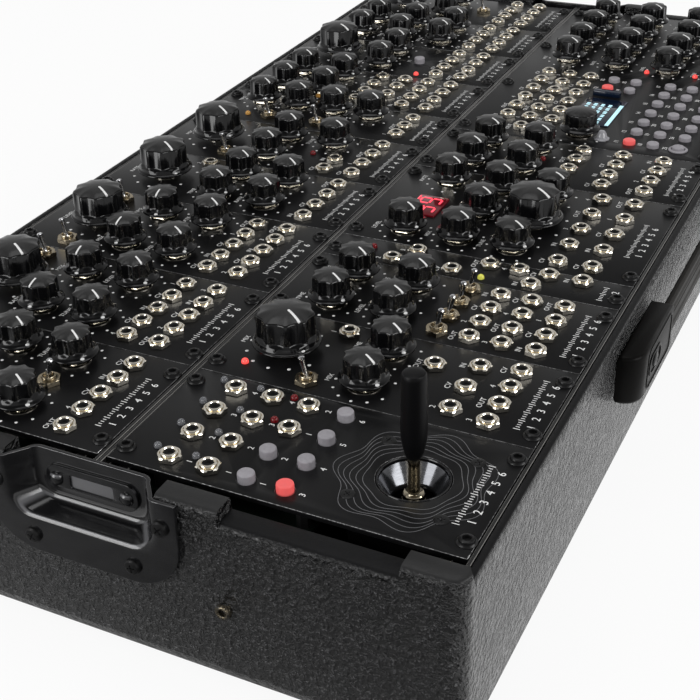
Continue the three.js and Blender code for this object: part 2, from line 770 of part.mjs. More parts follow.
function joystickHousing(y) {
  const outer = box(
    [-housingHalf, y - housingHalf, -housingDepth],
    [housingHalf, y + housingHalf, -panelThickness / 2],
  );
  const inside = housingHalf - housingWall;
  const hollow = box(
    [-inside, y - inside, -housingDepth + housingWall],
    [inside, y + inside, -panelThickness],
  );
  const cone = (grow, from) => turned([
    [0, cutOverrun * from], [stickHole + grow, cutOverrun * from], [stickHole + grow, -panelThickness],
    [dishThroat + grow, -dishLow], [0, -dishLow],
  ], stickHoleSides).translate([0, y, 0]);
  const throat = post(0, y, -dishLow - cutOverrun, 0, dishThroat, stickHoleSides);
  const pinHole = pinRadius + runningGap;
  const pinBore = new THREE.CylinderGeometry(pinHole, pinHole, 2 * housingHalf + cutOverrun, pinSides);
  pinBore.rotateZ(Math.PI / 2).translate(0, y, -pivotDrop);
  return {
    walls: cut(outer, [hollow]),
    dish: cone(dishSheet, 0),
    holes: [cone(0, 1), throat, solid(pinBore)],
  };
}

function joystickPieces(group, y) {
  const pinHole = pinRadius + runningGap;
  const ringBody = cut(post(0, 0, -ringHalf, ringHalf, ringOuter, stickSides), [
    post(0, 0, -ringHalf - cutOverrun, ringHalf + cutOverrun, ringInner, stickSides),
    solid(new THREE.CylinderGeometry(pinHole, pinHole, 2 * ringOuter + cutOverrun, pinSides)),
  ]);
  const pinReach = housingHalf - housingWall / 2;
  const pins = [-1, 1].map((side) => solid(
    new THREE.CylinderGeometry(pinRadius, pinRadius, pinReach - ringOuter + ringInner / 2, pinSides)
      .rotateZ(Math.PI / 2)
      .translate(side * (pinReach + ringOuter - ringInner / 2) / 2, 0, 0),
  ));
  const inside = post(0, 0, -ringHalf - cutOverrun, ringHalf + cutOverrun, ringInner, stickSides);
  const pinned = joined(ringBody, pins.map((pin) => pin.subtract(inside)));
  const ring = meshOf('joystick_gimbal_ring', pinned, 'steel');
  ring.position.set(0, y, -pivotDrop);
  group.add(ring);

  const up = pivotDrop;
  const profile = [
    [0, up + gripTop], [gripTopRadius - gripRound, up + gripTop], [gripTopRadius, up + gripTop - gripRound],
    [gripRadius, up + gripBellyHigh], [gripRadius, up + gripTaperHigh], [gripFootRadius, up + gripFoot],
    [stickRod, up + gripFoot],
    [stickRod, collarFoot + collarHigh + collarBevel], [collarRadius, collarFoot + collarHigh],
    [collarRadius, collarFoot], [stickRod, collarFoot], [stickRod, ringHalf + collarBevel],
    [hubRadius, ringHalf], [hubRadius, -ringHalf], [0, -ringHalf],
  ];
  const cross = new THREE.CylinderGeometry(pinRadius, pinRadius, 2 * (ringOuter - pinGrip), pinSides);
  const stick = meshOf('joystick_stick', joined(turned(profile, stickSides), [solid(cross)]), 'rubber');
  stick.position.copy(ring.position);
  group.add(stick);
}

// Each module: a panel with its nuts, bushings and circuit board, and its own moving controls
function buildModule(spec, leftEdge) {
  const width = spec.units * hpPitch;
  const panelWidth = width - panelGap;
  const group = new THREE.Group();
  group.position.set(leftEdge + width / 2, rowEdges[spec.row], panelFace);
  const boardLow = (spec.boardShare ?? boardFootShare) * panelHeight;
  const boardHigh = boardHeadShare * panelHeight;
  const half = panelWidth / 2;
  const boardHalf = half - boardInset;
  const adds = [box(
    [-boardHalf, boardLow, -boardDrop - boardThickness],
    [boardHalf, boardHigh, -boardDrop],
  )];
  for (const side of [-1, 1]) {
    const x = side * (half - spacerInset);
    const y = side < 0 ? boardLow + spacerInset : boardHigh - spacerInset;
    adds.push(box(
      [x - spacerHalf, y - spacerHalf, -boardDrop - boardThickness / 2],
      [x + spacerHalf, y + spacerHalf, -panelThickness / 2],
    ));
  }
  const cuts = [];
  for (const kind of ['jack', 'large', 'small', 'encoder', 'button', 'toggle']) {
    (spec[kind] ?? []).forEach(([u, v], index) => {
      const name = spec.names?.[kind]?.[index];
      const [x, y] = [u * width, v * panelHeight];
      const made = controlOnPanel(kind, x, y, Boolean(name));
      adds.push(...made.adds);
      cuts.push(...made.cuts);
      if (name) {
        const holder = new THREE.Group();
        holder.position.set(x, y, 0);
        holder.add(movingControl(name, kind));
        group.add(holder);
      }
    });
  }
  if (spec.displayShares) {
    const [left, right, low, high] = spec.displayShares;
    adds.push(box(
      [left * width, low * panelHeight, -panelThickness / 2],
      [right * width, high * panelHeight, displayHigh],
    ));
  }
  const panel = box([-half, 0, -panelThickness], [half, panelHeight, 0]);
  if (spec.name === 'joystick_module') {
    const stickY = stickShare * panelHeight;
    const housing = joystickHousing(stickY);
    adds.push(housing.walls, housing.dish);
    cuts.push(...housing.holes);
    joystickPieces(group, stickY);
  }
  group.add(meshOf(spec.name, cut(joined(panel, adds), cuts), 'panel'));
  synthesizer.add(group);
}

const filled = [0, 0];
for (const spec of moduleShares) {
  buildModule(spec, filled[spec.row] - rowLength / 2);
  filled[spec.row] += spec.units * hpPitch;
}

export default synthesizer;
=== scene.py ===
import math

import bpy
import numpy as np
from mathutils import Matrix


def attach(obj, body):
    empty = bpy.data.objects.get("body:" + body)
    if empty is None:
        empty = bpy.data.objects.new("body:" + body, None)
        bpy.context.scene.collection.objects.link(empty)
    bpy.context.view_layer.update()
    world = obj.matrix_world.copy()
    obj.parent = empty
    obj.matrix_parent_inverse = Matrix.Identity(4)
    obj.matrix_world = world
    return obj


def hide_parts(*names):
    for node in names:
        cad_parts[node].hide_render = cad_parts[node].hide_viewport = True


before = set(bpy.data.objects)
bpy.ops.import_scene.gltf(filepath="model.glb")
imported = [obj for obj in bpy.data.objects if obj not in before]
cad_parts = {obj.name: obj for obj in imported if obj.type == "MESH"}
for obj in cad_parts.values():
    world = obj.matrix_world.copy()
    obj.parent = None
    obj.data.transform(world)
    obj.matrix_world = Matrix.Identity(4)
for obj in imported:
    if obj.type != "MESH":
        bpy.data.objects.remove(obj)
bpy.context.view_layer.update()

# The studio. The instrument stands on a white sweep and is seen from its front left corner,
# from above. Two soft boxes stand left and right of the view and a weak one hangs overhead.
# Mirror rays find the floor darker on its left, as where a black card lies.


class Field:
    """One output of a node tree. A sum or product of fields, or a number less a field, adds a
    Math node."""

    def __init__(self, nodes, socket):
        self.nodes = nodes
        self.socket = socket

    def math(self, operation, first, second=0.0):
        return self.nodes.add("Math", {"operation": operation}, {0: first, 1: second})

    def __add__(self, other):
        return self.math("ADD", self, other)

    def __rsub__(self, other):
        return self.math("SUBTRACT", other, self)

    def __mul__(self, other):
        return self.math("MULTIPLY", self, other)

    __radd__ = __add__
    __rmul__ = __mul__


class Nodes:
    """A node tree. add() makes one node, with its settings first and then its sockets,
    each a plain value or a Field, and gives the wanted output as a Field."""

    def __init__(self, tree):
        self.tree = tree

    def join(self, value, socket):
        if isinstance(value, Field):
            self.tree.links.new(value.socket, socket)
        else:
            socket.default_value = value

    def add(self, kind, settings=None, sockets=None, output=0):
        made = self.tree.nodes.new("ShaderNode" + kind)
        for name, value in (settings or {}).items():
            setattr(made, name, value)
        for name, value in (sockets or {}).items():
            self.join(value, made.inputs[name])
        return Field(self, made.outputs[output])

    def part(self, vector, axis):
        """One coordinate, X, Y or Z, of a vector field."""
        return self.add("SeparateXYZ", sockets={0: vector}, output=axis)

    def stepped(self, value, low, high, low_value=0.0, high_value=1.0):
        """low_value below low, high_value above high, and a smooth step between them."""
        sockets = {0: value, 1: low, 2: high, 3: low_value, 4: high_value}
        return self.add("MapRange", {"interpolation_type": "SMOOTHSTEP"}, sockets)


def seen_rays(nodes):
    """Two fields: 1 for camera rays, and 1 for mirror and glass rays."""
    glossy = nodes.add("LightPath", output="Is Glossy Ray")
    through = nodes.add("LightPath", output="Is Transmission Ray")
    camera = nodes.add("LightPath", output="Is Camera Ray")
    return camera, camera.math("MAXIMUM", glossy, through)


AMBIENT = 0.36
# the heights between which the mirrored sky changes, and its strength at either one
HORIZON = (0.05, 0.34, 1.0, 0.5)
ZENITH = (0.55, 0.85, 1.0, 0.25)

world = bpy.data.worlds.new("sweep")
bpy.context.scene.world = world
world.use_nodes = True
sky = Nodes(world.node_tree)
camera_ray, mirror_ray = seen_rays(sky)
direction = sky.add("TexCoord", output="Generated")
height = sky.part(direction, "Z")
mirrored_sky = sky.stepped(height, *HORIZON) * sky.stepped(height, *ZENITH)
lit_sky = mirror_ray * mirrored_sky + (1.0 - mirror_ray) * AMBIENT
level = camera_ray.math("MAXIMUM", camera_ray, lit_sky)
background = world.node_tree.nodes["Background"]
sky.join(level, background.inputs["Strength"])
background.inputs["Color"].default_value = (1, 1, 1, 1)

FLOOR_REACH = 12.0
FLOOR_DROP = 0.0004
FLOOR_GLOW = 0.92
FLOOR_WHITE = 0.84
# where the card in mirror rays ends on the right, and the place along Y and the tone of its
# near and far ends
CARD_EDGE = (-0.3, -0.25)
CARD_NEAR, CARD_FAR = (-0.1, 0.05), (0.1, 0.3)

floor_mesh = bpy.data.meshes.new("floor")
floor_mesh.from_pydata(
    [(x * FLOOR_REACH, y * FLOOR_REACH, -FLOOR_DROP) for x, y in ((-1, -1), (1, -1), (1, 1), (-1, 1))],
    [], [(0, 1, 2, 3)])
floor = bpy.data.objects.new("floor", floor_mesh)
bpy.context.scene.collection.objects.link(floor)
floor_paint = bpy.data.materials.new("floor_paper")
floor_paint.use_nodes = True
paper = Nodes(floor_paint.node_tree)
paper_shader = floor_paint.node_tree.nodes["Principled BSDF"]
paper_shader.inputs["Roughness"].default_value = 0.9
camera_ray, mirror_ray = seen_rays(paper)
floor_place = paper.add("TexCoord", output="Object")
floor_x, floor_y = paper.part(floor_place, "X"), paper.part(floor_place, "Y")
card_tone = paper.stepped(floor_y, CARD_NEAR[0], CARD_FAR[0], 1.0 - CARD_NEAR[1], 1.0 - CARD_FAR[1])
carded = 1.0 - mirror_ray * paper.stepped(floor_x, *CARD_EDGE, 1.0, 0.0) * card_tone
paper.join(carded * FLOOR_WHITE, paper_shader.inputs["Base Color"])
seen_ray = camera_ray.math("MAXIMUM", camera_ray, mirror_ray)
glow = paper.add("Emission", sockets={"Strength": carded})
paper_look = Field(paper, paper_shader.outputs[0])
mixed = paper.add("MixShader", sockets={0: seen_ray * FLOOR_GLOW, 1: paper_look, 2: glow})
paper.join(mixed, floor_paint.node_tree.nodes["Material Output"].inputs["Surface"])
floor_mesh.materials.append(floor_paint)

view = bpy.data.cameras.new("view")
view.lens = 68.396
view.sensor_width = 36
view.shift_x = 0.06494
view.shift_y = -0.00033
view.clip_start = 0.02
view.clip_end = 40
camera = bpy.data.objects.new("view", view)
camera.location = (-0.55255, -0.23512, 0.32993)
camera.rotation_euler = [math.radians(angle) for angle in (58.8854, 2.2743, -62.9702)]
bpy.context.scene.collection.objects.link(camera)
bpy.context.scene.camera = camera

# azimuth, elevation, distance, width, height, power in watts
SOFT_BOXES = {
    "box_left": (150, 19, 2.0, 0.9, 1.15, 19),
    "box_right": (262, 30, 1.7, 1.0, 0.5, 12),
    "box_top": (60, 82, 1.6, 1.0, 1.0, 6),
}
for name, (azimuth, elevation, away, wide, tall, power) in SOFT_BOXES.items():
    lamp = bpy.data.lights.new(name, "AREA")
    lamp.shape = "RECTANGLE"
    lamp.size = wide
    lamp.size_y = tall
    lamp.energy = power
    holder = bpy.data.objects.new(name, lamp)
    a, e = math.radians(azimuth), math.radians(elevation)
    holder.location = (away * math.cos(e) * math.cos(a), away * math.cos(e) * math.sin(a), away * math.sin(e))
    holder.rotation_euler = (math.pi / 2 - e, 0, a + math.pi / 2)
    bpy.context.scene.collection.objects.link(holder)
bpy.context.scene.view_settings.view_transform = "Standard"

# The case shell. One glued plywood box with rounded corners, its end walls notched for the
# lid and cut open for the latch keepers, sprayed all over with a coarse black coating.
# Every size from here on is in millimetres.


class Finish(Nodes):
    """A surface: a Principled shader with its constants, and fields joined to it by vary()."""

    def __init__(self, name, color, roughness, **constants):
        self.material = bpy.data.materials.new(name)
        self.material.use_nodes = True
        super().__init__(self.material.node_tree)
        self.shader = self.tree.nodes["Principled BSDF"]
        self.shader.inputs["Base Color"].default_value = (*color, 1)
        self.shader.inputs["Roughness"].default_value = roughness
        for socket, value in constants.items():
            self.shader.inputs[socket.replace("_", " ")].default_value = value
        self.place = self.add("TexCoord", output="Object")

    def noise(self, grain, detail=2.0, stretch=(1, 1, 1)):
        """Cloudy noise whose features are about grain millimetres across."""
        scaled = self.add("Mapping", sockets={"Vector": self.place, "Scale": stretch})
        sockets = {"Vector": scaled, "Scale": 1000 / grain, "Detail": detail}
        return self.add("TexNoise", sockets=sockets)

    def cells(self, grain):
        """Distance to the nearest point of an uneven lattice of that spacing."""
        return self.add("TexVoronoi", sockets={"Vector": self.place, "Scale": 1000 / grain})

    def between(self, share, low, high):
        """The colour low where share is 0 and high where it is 1."""
        return self.add("Mix", {"data_type": "RGBA"}, {0: share, 6: (*low, 1), 7: (*high, 1)}, 2)

    def vary(self, **fields):
        for socket, field in fields.items():
            self.join(field, self.shader.inputs[socket.replace("_", " ")])

    def relief(self, raised, depth):
        """A bump as deep as depth millimetres."""
        bump = self.add("Bump", sockets={"Height": raised, "Distance": depth / 1000, "Strength": 1.0})
        self.join(bump, self.shader.inputs["Normal"])

    def facing_up(self):
        """The Z of the outward normal: 0 on an upright surface and 1 on one that faces up."""
        return self.part(self.add("NewGeometry", output="Normal"), "Z")

    def rounding(self, rise, fall):
        """1 on rounded edges: 0 below the pair rise and above the pair fall of facing_up()."""
        up = self.facing_up()
        return self.stepped(up, *rise) * self.stepped(up, *fall, 1.0, 0.0)


def mottled(name, color, clouds, low, high, rough, depth=0.0, **constants):
    """A finish with one noise, whose grain, detail and stretch are clouds. It carries the colour
    from low to high. rough is the shader's own roughness, the lowest one, and the rise from it."""
    made = Finish(name, color, rough[0], **constants)
    cloud = made.noise(*clouds)
    made.vary(Base_Color=made.between(cloud, low, high), Roughness=rough[1] + cloud * rough[2])
    if depth:
        made.relief(cloud, depth)
    return made


def skin(numbers, around=True):
    """Faces between neighbouring rows and columns of a table of vertex numbers.
    A face with a doubled corner, as at a pole, becomes a triangle with its last corner twice."""
    here = numbers if around else numbers[:, :-1]
    there = np.roll(numbers, -1, axis=1) if around else numbers[:, 1:]
    faces = np.stack([here[:-1], there[:-1], there[1:], here[1:]], axis=-1).reshape(-1, 4)
    pole = faces[:, 0] == faces[:, 1]
    faces[pole] = faces[pole][:, [2, 3, 0, 1]]
    return faces[~((faces[:, 0] == faces[:, 1]) & (faces[:, 2] == faces[:, 3]))]


def outward(points, faces):
    """Turns every face round where the closed shape's signed volume is below zero."""
    a, b, c, d = (points[faces[:, k]] for k in range(4))
    volume = np.einsum("ij,ij->", a, np.cross(b, c)) + np.einsum("ij,ij->", a, np.cross(c, d))
    if volume >= 0:
        return points, faces
    turned = faces[:, ::-1].copy()
    pole = faces[:, 2] == faces[:, 3]
    turned[pole] = faces[pole][:, [1, 0, 2, 2]]
    return points, turned


def rows_to_shape(rows, around=True, pole_first=False, pole_last=False):
    """Numbers the points of a rows by columns grid, with one vertex for a row that is a pole."""
    count, columns = rows.shape[:2]
    numbers = np.arange(count * columns).reshape(count, columns)
    if pole_first:
        numbers[0] = numbers[0, 0]
    if pole_last:
        numbers[-1] = numbers[-1, 0]
    used, packed = np.unique(numbers, return_inverse=True)
    points = rows.reshape(-1, 3)[used]
    return points, skin(packed.reshape(count, columns), around)


def piece(name, shape, finish, slot, body="rack", stands_for=(), crease=32):
    """One object from (points, faces) in millimetres, smooth but for edges sharper than crease."""
    points, faces = shape
    mesh = bpy.data.meshes.new(name)
    triangle = faces[:, 2] == faces[:, 3]
    kept = np.ones(faces.shape, bool)
    kept[triangle, 3] = False
    counts = np.where(triangle, 3, 4)
    mesh.vertices.add(len(points))
    mesh.vertices.foreach_set("co", (points / 1000).astype(np.float32).ravel())
    mesh.loops.add(int(counts.sum()))
    mesh.loops.foreach_set("vertex_index", faces[kept].astype(np.int32))
    mesh.polygons.add(len(faces))
    mesh.polygons.foreach_set("loop_start", (np.cumsum(counts) - counts).astype(np.int32))
    mesh.polygons.foreach_set("use_smooth", np.ones(len(faces), bool))
    mesh.update(calc_edges=True)
    mesh.validate()
    mesh.set_sharp_from_angle(angle=math.radians(crease))
    mesh.materials.append(finish.material)
    made = bpy.data.objects.new(name, mesh)
    bpy.context.scene.collection.objects.link(made)
    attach(made, body)
    if stands_for:
        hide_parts(*stands_for)
    return made


CASE_HALF = np.array([279.16, 136.1])
CASE_TOP = 75.0
WALL_TOP = 72.0
CORNER = 6.0
END_INSET = 9.4
LIP_INSET = 3.5
SIDE_INSET = 8.7
LEDGE = 57.4
CASE_FLOOR = 9.0
NOTCH = (53.6, 114.6, 4.2)
POCKET = (29.6, 50.9)
STEP_RUN = 0.5
END_RAMP = 1.2
CORNER_COLUMNS = 8


def coating():
    """Coarse black spray: small grit on broader swells, with a painted highlight on its crests. It is smooth
    where it faces up, and greyer with a metallic sheen on the tops below the end walls' own."""
    made = Finish("coarse_coating", (0.008, 0.008, 0.009), 0.4, Coat_Roughness=0.16)
    rubbed = made.stepped(made.facing_up(), 0.45, 0.85)
    low_top = rubbed * made.stepped(made.part(made.place, "Z"), 0.0727, 0.0741, 1.0, 0.0)
    swell = made.noise(6.0, 2.0)
    grit = made.noise(1.9, 3.0)
    specks = made.noise(0.7, 2.0)
    grains = made.cells(2.3)
    raised = grit * 0.9 + swell * 0.3 + (1.0 - grains) * 0.3 + specks * 0.25
    rough_side = 1.0 - rubbed * 0.97
    made.relief(raised * rough_side, 3.3)
    # the paler colour of the raised crests is a painted highlight, standing in for glints of light on them
    painted_crest_highlight = made.stepped(raised, 0.85, 1.15) * made.stepped(specks, 0.48, 0.64) * rough_side
    crest_highlight_and_grey_top = painted_crest_highlight + low_top * 0.11
    made.vary(Base_Color=made.between(crest_highlight_and_grey_top, (0.0015, 0.0015, 0.0018), (0.075, 0.075, 0.078)))
    made.vary(Metallic=low_top * 0.8, Roughness=0.14 + grit * 0.2 + rubbed * 0.26)
    made.vary(Coat_Weight=made.stepped(raised, 0.8, 1.08, 0.04, 0.32) * rough_side)
    return made


def wall_columns():
    """Places round the case on which the walls' sections stand: for each, the side that it is
    on, its place along that side, and its turn inside a corner."""
    low, high, _ = NOTCH
    steps = [POCKET[0], POCKET[0] + STEP_RUN, low - STEP_RUN, low, high, high + STEP_RUN]
    straight = np.array([CASE_HALF[1] - CORNER, *steps[::-1], 0.0])
    along_end = np.concatenate([-straight, straight[::-1][1:]])
    along_side = np.array([-1, -0.5, 0, 0.5, 1]) * (CASE_HALF[0] - CORNER - END_RAMP)
    turns = np.linspace(0, math.pi / 2, CORNER_COLUMNS)
    columns = []
    for quarter in range(4):
        along = along_end if quarter % 2 == 0 else along_side
        columns += [(quarter, value, None) for value in along]
        columns += [(quarter, None, turn) for turn in turns]
    return columns


def case_height(quarter, along):
    """How high the wall stands there: full, or less in a notch, a pocket or a long wall."""
    if along is None:
        return CASE_TOP
    if quarter % 2 == 1:
        return WALL_TOP
    if abs(along) <= POCKET[0]:
        return POCKET[1]
    if NOTCH[0] <= abs(along) <= NOTCH[1]:
        return CASE_TOP - NOTCH[2]
    return CASE_TOP


def ring_point(quarter, along, turn, half, radius):
    """A point of a rounded rectangle, on one of its sides or in the corner that follows it."""
    centre = half - radius
    if turn is None:
        local = {0: (half[0], along), 1: (-along, half[1]), 2: (-half[0], -along), 3: (along, -half[1])}
        return local[quarter]
    signs = {0: (1, 1), 1: (-1, 1), 2: (-1, -1), 3: (1, -1)}[quarter]
    angle = quarter * math.pi / 2 + turn
    return signs[0] * centre[0] + radius * math.cos(angle), signs[1] * centre[1] + radius * math.sin(angle)


# inset of the end walls, inset of the long walls, corner radius, height, and whether that
# height is measured from the wall's top
SHELL_ROWS = [
    (None, None, None, 0.0, False),
    (9.0, 9.0, 0.8, 0.0, False), (4.6, 4.6, 1.8, 1.6, False), (1.6, 1.6, 4.5, 4.6, False),
    (0, 0, CORNER, 9.0, False), (0, 0, CORNER, 30.0, False), (0, 0, CORNER, -2.6, True),
    (0.3, 0.15, 5.8, -1.5, True), (1.1, 0.5, 5.3, -0.5, True), (2.4, 1.1, 4.6, 0.0, True),
    (8.6, 2.9, 1.4, 0.0, True), (9.2, 3.3, 1.0, -0.2, True), (END_INSET, LIP_INSET, 0.8, -0.8, True),
    (END_INSET, LIP_INSET, 0.8, LEDGE, False), (END_INSET, SIDE_INSET, 0.8, LEDGE, False),
    (END_INSET, SIDE_INSET, 0.8, CASE_FLOOR, False), (None, None, None, CASE_FLOOR, False),
]
columns = wall_columns()
tops = np.array([case_height(quarter, along) for quarter, along, _ in columns])
shell_rows = []
for end_inset, long_inset, radius, level, from_top in SHELL_ROWS:
    if end_inset is None:
        shell_rows.append(np.tile([0.0, 0.0, level], (len(columns), 1)))
        continue
    half = CASE_HALF - [end_inset, long_inset]
    flat = np.array([ring_point(quarter, along, turn, half, radius) for quarter, along, turn in columns])
    heights = tops + level if from_top else np.minimum(level, tops - 1.2)
    shell_rows.append(np.column_stack([flat, heights]))
coat = coating()
shell = rows_to_shape(np.array(shell_rows), pole_first=True, pole_last=True)
piece("case_shell.coated_box", outward(*shell), coat, "coating", stands_for=["case_shell"], crease=40)

# The threaded inserts in both end walls. Turned brass, pressed into the plywood before
# spraying, so that their rims are dark with overspray.


def revolved(reach, heights, sides):
    """Rows of points round the upright axis, each with its reach and its height, which may change
    from angle to angle. A first or last row without reach becomes one point."""
    angles = np.arange(sides) * 2 * math.pi / sides
    rows = np.stack(np.broadcast_arrays(reach * np.cos(angles), reach * np.sin(angles), heights), axis=-1)
    first, last = not reach[0].any(), not reach[-1].any()
    return outward(*rows_to_shape(rows, pole_first=first, pole_last=last))


def turned(profile, sides):
    """A profile of (radius, height) pairs, from pole to pole, turned about the upright axis."""
    radii, heights = np.array(profile, float).T[..., None]
    return revolved(radii, heights, sides)


def stamp(shape, places, turns=0.0):
    """The shape once at every place, first turned about the upright axis by that place's angle."""
    points, faces = shape
    places = np.asarray(places, float).reshape(-1, 3)
    turns = np.broadcast_to(turns, len(places))
    cosine, sine = np.cos(turns)[:, None], np.sin(turns)[:, None]
    x = points[:, 0] * cosine - points[:, 1] * sine + places[:, :1]
    y = points[:, 0] * sine + points[:, 1] * cosine + places[:, 1:2]
    z = points[:, 2] + places[:, 2:]
    shifted = faces + len(points) * np.arange(len(places))[:, None, None]
    return np.stack([x, y, z], axis=-1).reshape(-1, 3), shifted.reshape(-1, 4)


def together(*shapes):
    """Several shapes as one."""
    starts = np.cumsum([0] + [len(points) for points, _ in shapes[:-1]])
    points = np.concatenate([points for points, _ in shapes])
    return points, np.concatenate([faces + start for (_, faces), start in zip(shapes, starts)])


# right, up and out of each outer wall, as seen by someone who looks at it
WALLS = {
    "left": ((0, -1, 0), (0, 0, 1), (-1, 0, 0)),
    "right": ((0, 1, 0), (0, 0, 1), (1, 0, 0)),
    "front": ((1, 0, 0), (0, 0, 1), (0, -1, 0)),
    "rear": ((-1, 0, 0), (0, 0, 1), (0, 1, 0)),
}


def on_wall(shape, wall, origin=(0, 0, 0)):
    """Carries a shape drawn flat, with Z as its way out, onto a wall at an origin."""
    points, faces = shape
    return points @ np.array(WALLS[wall], float) + np.array(origin, float), faces


INSERT_Y = 53.0
INSERT_Z = 35.0
INSERT_PROFILE = [
    (0, -0.6), (1.35, -0.6), (1.4, 1.3), (1.7, 1.6), (2.3, 1.6), (2.75, 1.2), (2.9, -1.0), (0, -1.0),
]

brass = Finish("sprayed_brass", (0.1, 0.085, 0.06), 0.3, Metallic=1.0)
spray = brass.stepped(brass.noise(0.9, 3.0), 0.42, 0.62)
brass.vary(Base_Color=brass.between(spray, (0.2, 0.17, 0.12), (0.014, 0.013, 0.012)))
brass.vary(Metallic=1.0 - spray * 0.8, Roughness=0.16 + spray * 0.3)
brass.relief(spray, 0.1)
insert = turned(INSERT_PROFILE, 20)
for wall, side in (("left", -1), ("right", 1)):
    origins = [(side * CASE_HALF[0], y, INSERT_Z) for y in (-INSERT_Y, INSERT_Y)]
    both = together(*[on_wall(insert, wall, origin) for origin in origins])
    piece(f"case_insert.{wall}", both, brass, "chrome")

# The latch keepers. Dishes pressed from black painted sheet steel and screwed to the end
# walls. A plate with a slot for the lid's latch is riveted to the back of each dish.

KEEPER_FACE = 280.96
KEEPER_TOP = 74.0
KEEPER_SHEET = 1.5
KEEPER_FLANGE = [(39.0, 37.0, 20.0), (38.7, 36.7, 19.7), (31.6, 24.6, 10.2)]
ROLL = np.radians([12, 27, 42, 57, 72, 84])
ARC_STEPS = 9


def trough_rows():
    """Each row is a U: down one side, round a corner, along the bottom and up the other side.
    From the flat flange the rows roll inward as a quarter ellipse, run down the slope, and
    roll out again onto the back, whose last row draws in to one point at the top."""
    table = [(half, fall, radius, 0.0) for half, fall, radius in KEEPER_FLANGE]
    roll = [(np.sin(angle), 1 - np.cos(angle)) for angle in ROLL]
    table += [(31.6 - 3.6 * s, 24.6 - 3.2 * s, 10.2 - 2.0 * s, 2.4 * rise) for s, rise in roll]
    table += [(20.4 + 2.9 * s, 17.9 + 2.5 * s, 5.4 + 2.0 * s, 10.2 - 2.4 * rise) for s, rise in roll[::-1]]
    table += [(20.3, 17.8, 5.3, 10.2)]
    turns = np.linspace(0, math.pi / 2, ARC_STEPS)
    made = []
    for half, fall, radius, depth in table:
        bend = [radius - half - radius * np.cos(turns), radius - fall - radius * np.sin(turns)]
        corner = np.stack(bend, axis=1)
        left = np.concatenate([[(-half, 0)], corner, [(-half / 3, -fall)]])
        flat = np.concatenate([left, left[::-1] * [-1, 1]])
        made.append(np.column_stack([flat, np.full(len(flat), -depth)]))
    made.append(np.tile([0, 0, -table[-1][3]], (len(made[0]), 1)))
    return np.array(made)


painted_steel = Finish("painted_steel", (0.006, 0.006, 0.0065), 0.22, Coat_Roughness=0.12)
scuffs = painted_steel.noise(9.0, 5.0, (1, 1, 3))
# The rolled and rounded edges get a much lighter base colour: a painted highlight. The scuffs are the steel's
# own marks.
rolled_edge_highlight = painted_steel.rounding((0.42, 0.6), (0.68, 0.84))
marks_and_painted_highlight = scuffs * 0.04 + rolled_edge_highlight * 0.5
painted_steel.vary(Base_Color=painted_steel.between(marks_and_painted_highlight, (0.003, 0.003, 0.0034), (0.2, 0.2, 0.21)))
painted_steel.vary(Roughness=painted_steel.stepped(scuffs, 0.35, 0.7, 0.1, 0.18))
painted_steel.vary(Coat_Weight=0.08 + scuffs * 0.12)
painted_steel.relief(painted_steel.noise(1.6, 2.0), 0.008)
bare_steel = mottled("latch_steel", (0.12, 0.12, 0.135), (0.6, 3.0, (1, 1, 9)), (0.09, 0.09, 0.094),
                     (0.18, 0.18, 0.187), (0.5, 0.4, 0.2), Metallic=0.3)
black_screw = mottled("blackened_screw", (0.008, 0.008, 0.009), (0.8, 3.0), (0.0025, 0.0025, 0.003),
                      (0.009, 0.009, 0.009), (0.3, 0.24, 0.16), Specular_IOR_Level=0.24)


def flat_shape(curve):
    """The points and triangles of a flat curve or a line of text, with its seams merged."""
    holder = bpy.data.objects.new("outline", curve)
    bpy.context.scene.collection.objects.link(holder)
    mesh = bpy.data.meshes.new_from_object(holder)
    mesh.calc_loop_triangles()
    points = np.empty(len(mesh.vertices) * 3, np.float32)
    mesh.vertices.foreach_get("co", points)
    corners = np.empty(len(mesh.loop_triangles) * 3, np.int32)
    mesh.loop_triangles.foreach_get("vertices", corners)
    bpy.data.objects.remove(holder)
    bpy.data.curves.remove(curve)
    bpy.data.meshes.remove(mesh)
    points = points.reshape(-1, 3).astype(float)
    _, first, same = np.unique(np.round(points, 4), axis=0, return_index=True, return_inverse=True)
    triangles = same.reshape(-1)[corners.reshape(-1, 3)]
    a, b, c = triangles.T
    triangles = triangles[(a != b) & (b != c) & (c != a)]
    return points[first], triangles[:, [0, 1, 2, 2]]


def plate(outlines, low, high, edge):
    """A flat plate from low to high: the first outline is its rim and the others are holes.
    The rim and the holes get a rounded edge."""
    curve = bpy.data.curves.new("outline", "CURVE")
    curve.dimensions = "2D"
    curve.fill_mode = "BOTH"
    curve.extrude = (high - low) / 2 - edge
    curve.bevel_depth = edge
    curve.bevel_resolution = 1
    curve.offset = -edge
    for outline in outlines:
        spline = curve.splines.new("POLY")
        spline.points.add(len(outline) - 1)
        rest = np.tile([0.0, 1.0], (len(outline), 1))
        spline.points.foreach_set("co", np.hstack([outline, rest]).ravel())
        spline.use_cyclic_u = True
    points, faces = flat_shape(curve)
    return points + [0, 0, (low + high) / 2], faces


def rounded(width, height, radius, centre=(0, 0), steps=5):
    """The outline of a rectangle with round corners, anticlockwise from the lower right."""
    turns = np.linspace(-math.pi / 2, 0, steps)
    arc = np.stack([np.cos(turns), np.sin(turns)], axis=1) * radius
    corner = arc + [width / 2 - radius, -height / 2 + radius]
    other = corner[::-1] * [1, -1]
    half = np.concatenate([corner, other])
    return np.concatenate([half, half * [-1, -1]]) + centre


def circle(radius, centre=(0, 0), sides=28):
    """The outline of a round hole."""
    angles = np.arange(sides) * 2 * math.pi / sides
    return np.stack([np.cos(angles), np.sin(angles)], axis=1) * radius + centre


SCREW_SIDES = 32
PAN_HEAD = np.array([(1.0, 0), (0.97, 0.55), (0.8, 0.85), (0.52, 0.97), (0.46, 0.98), (0.2, 1.0)])


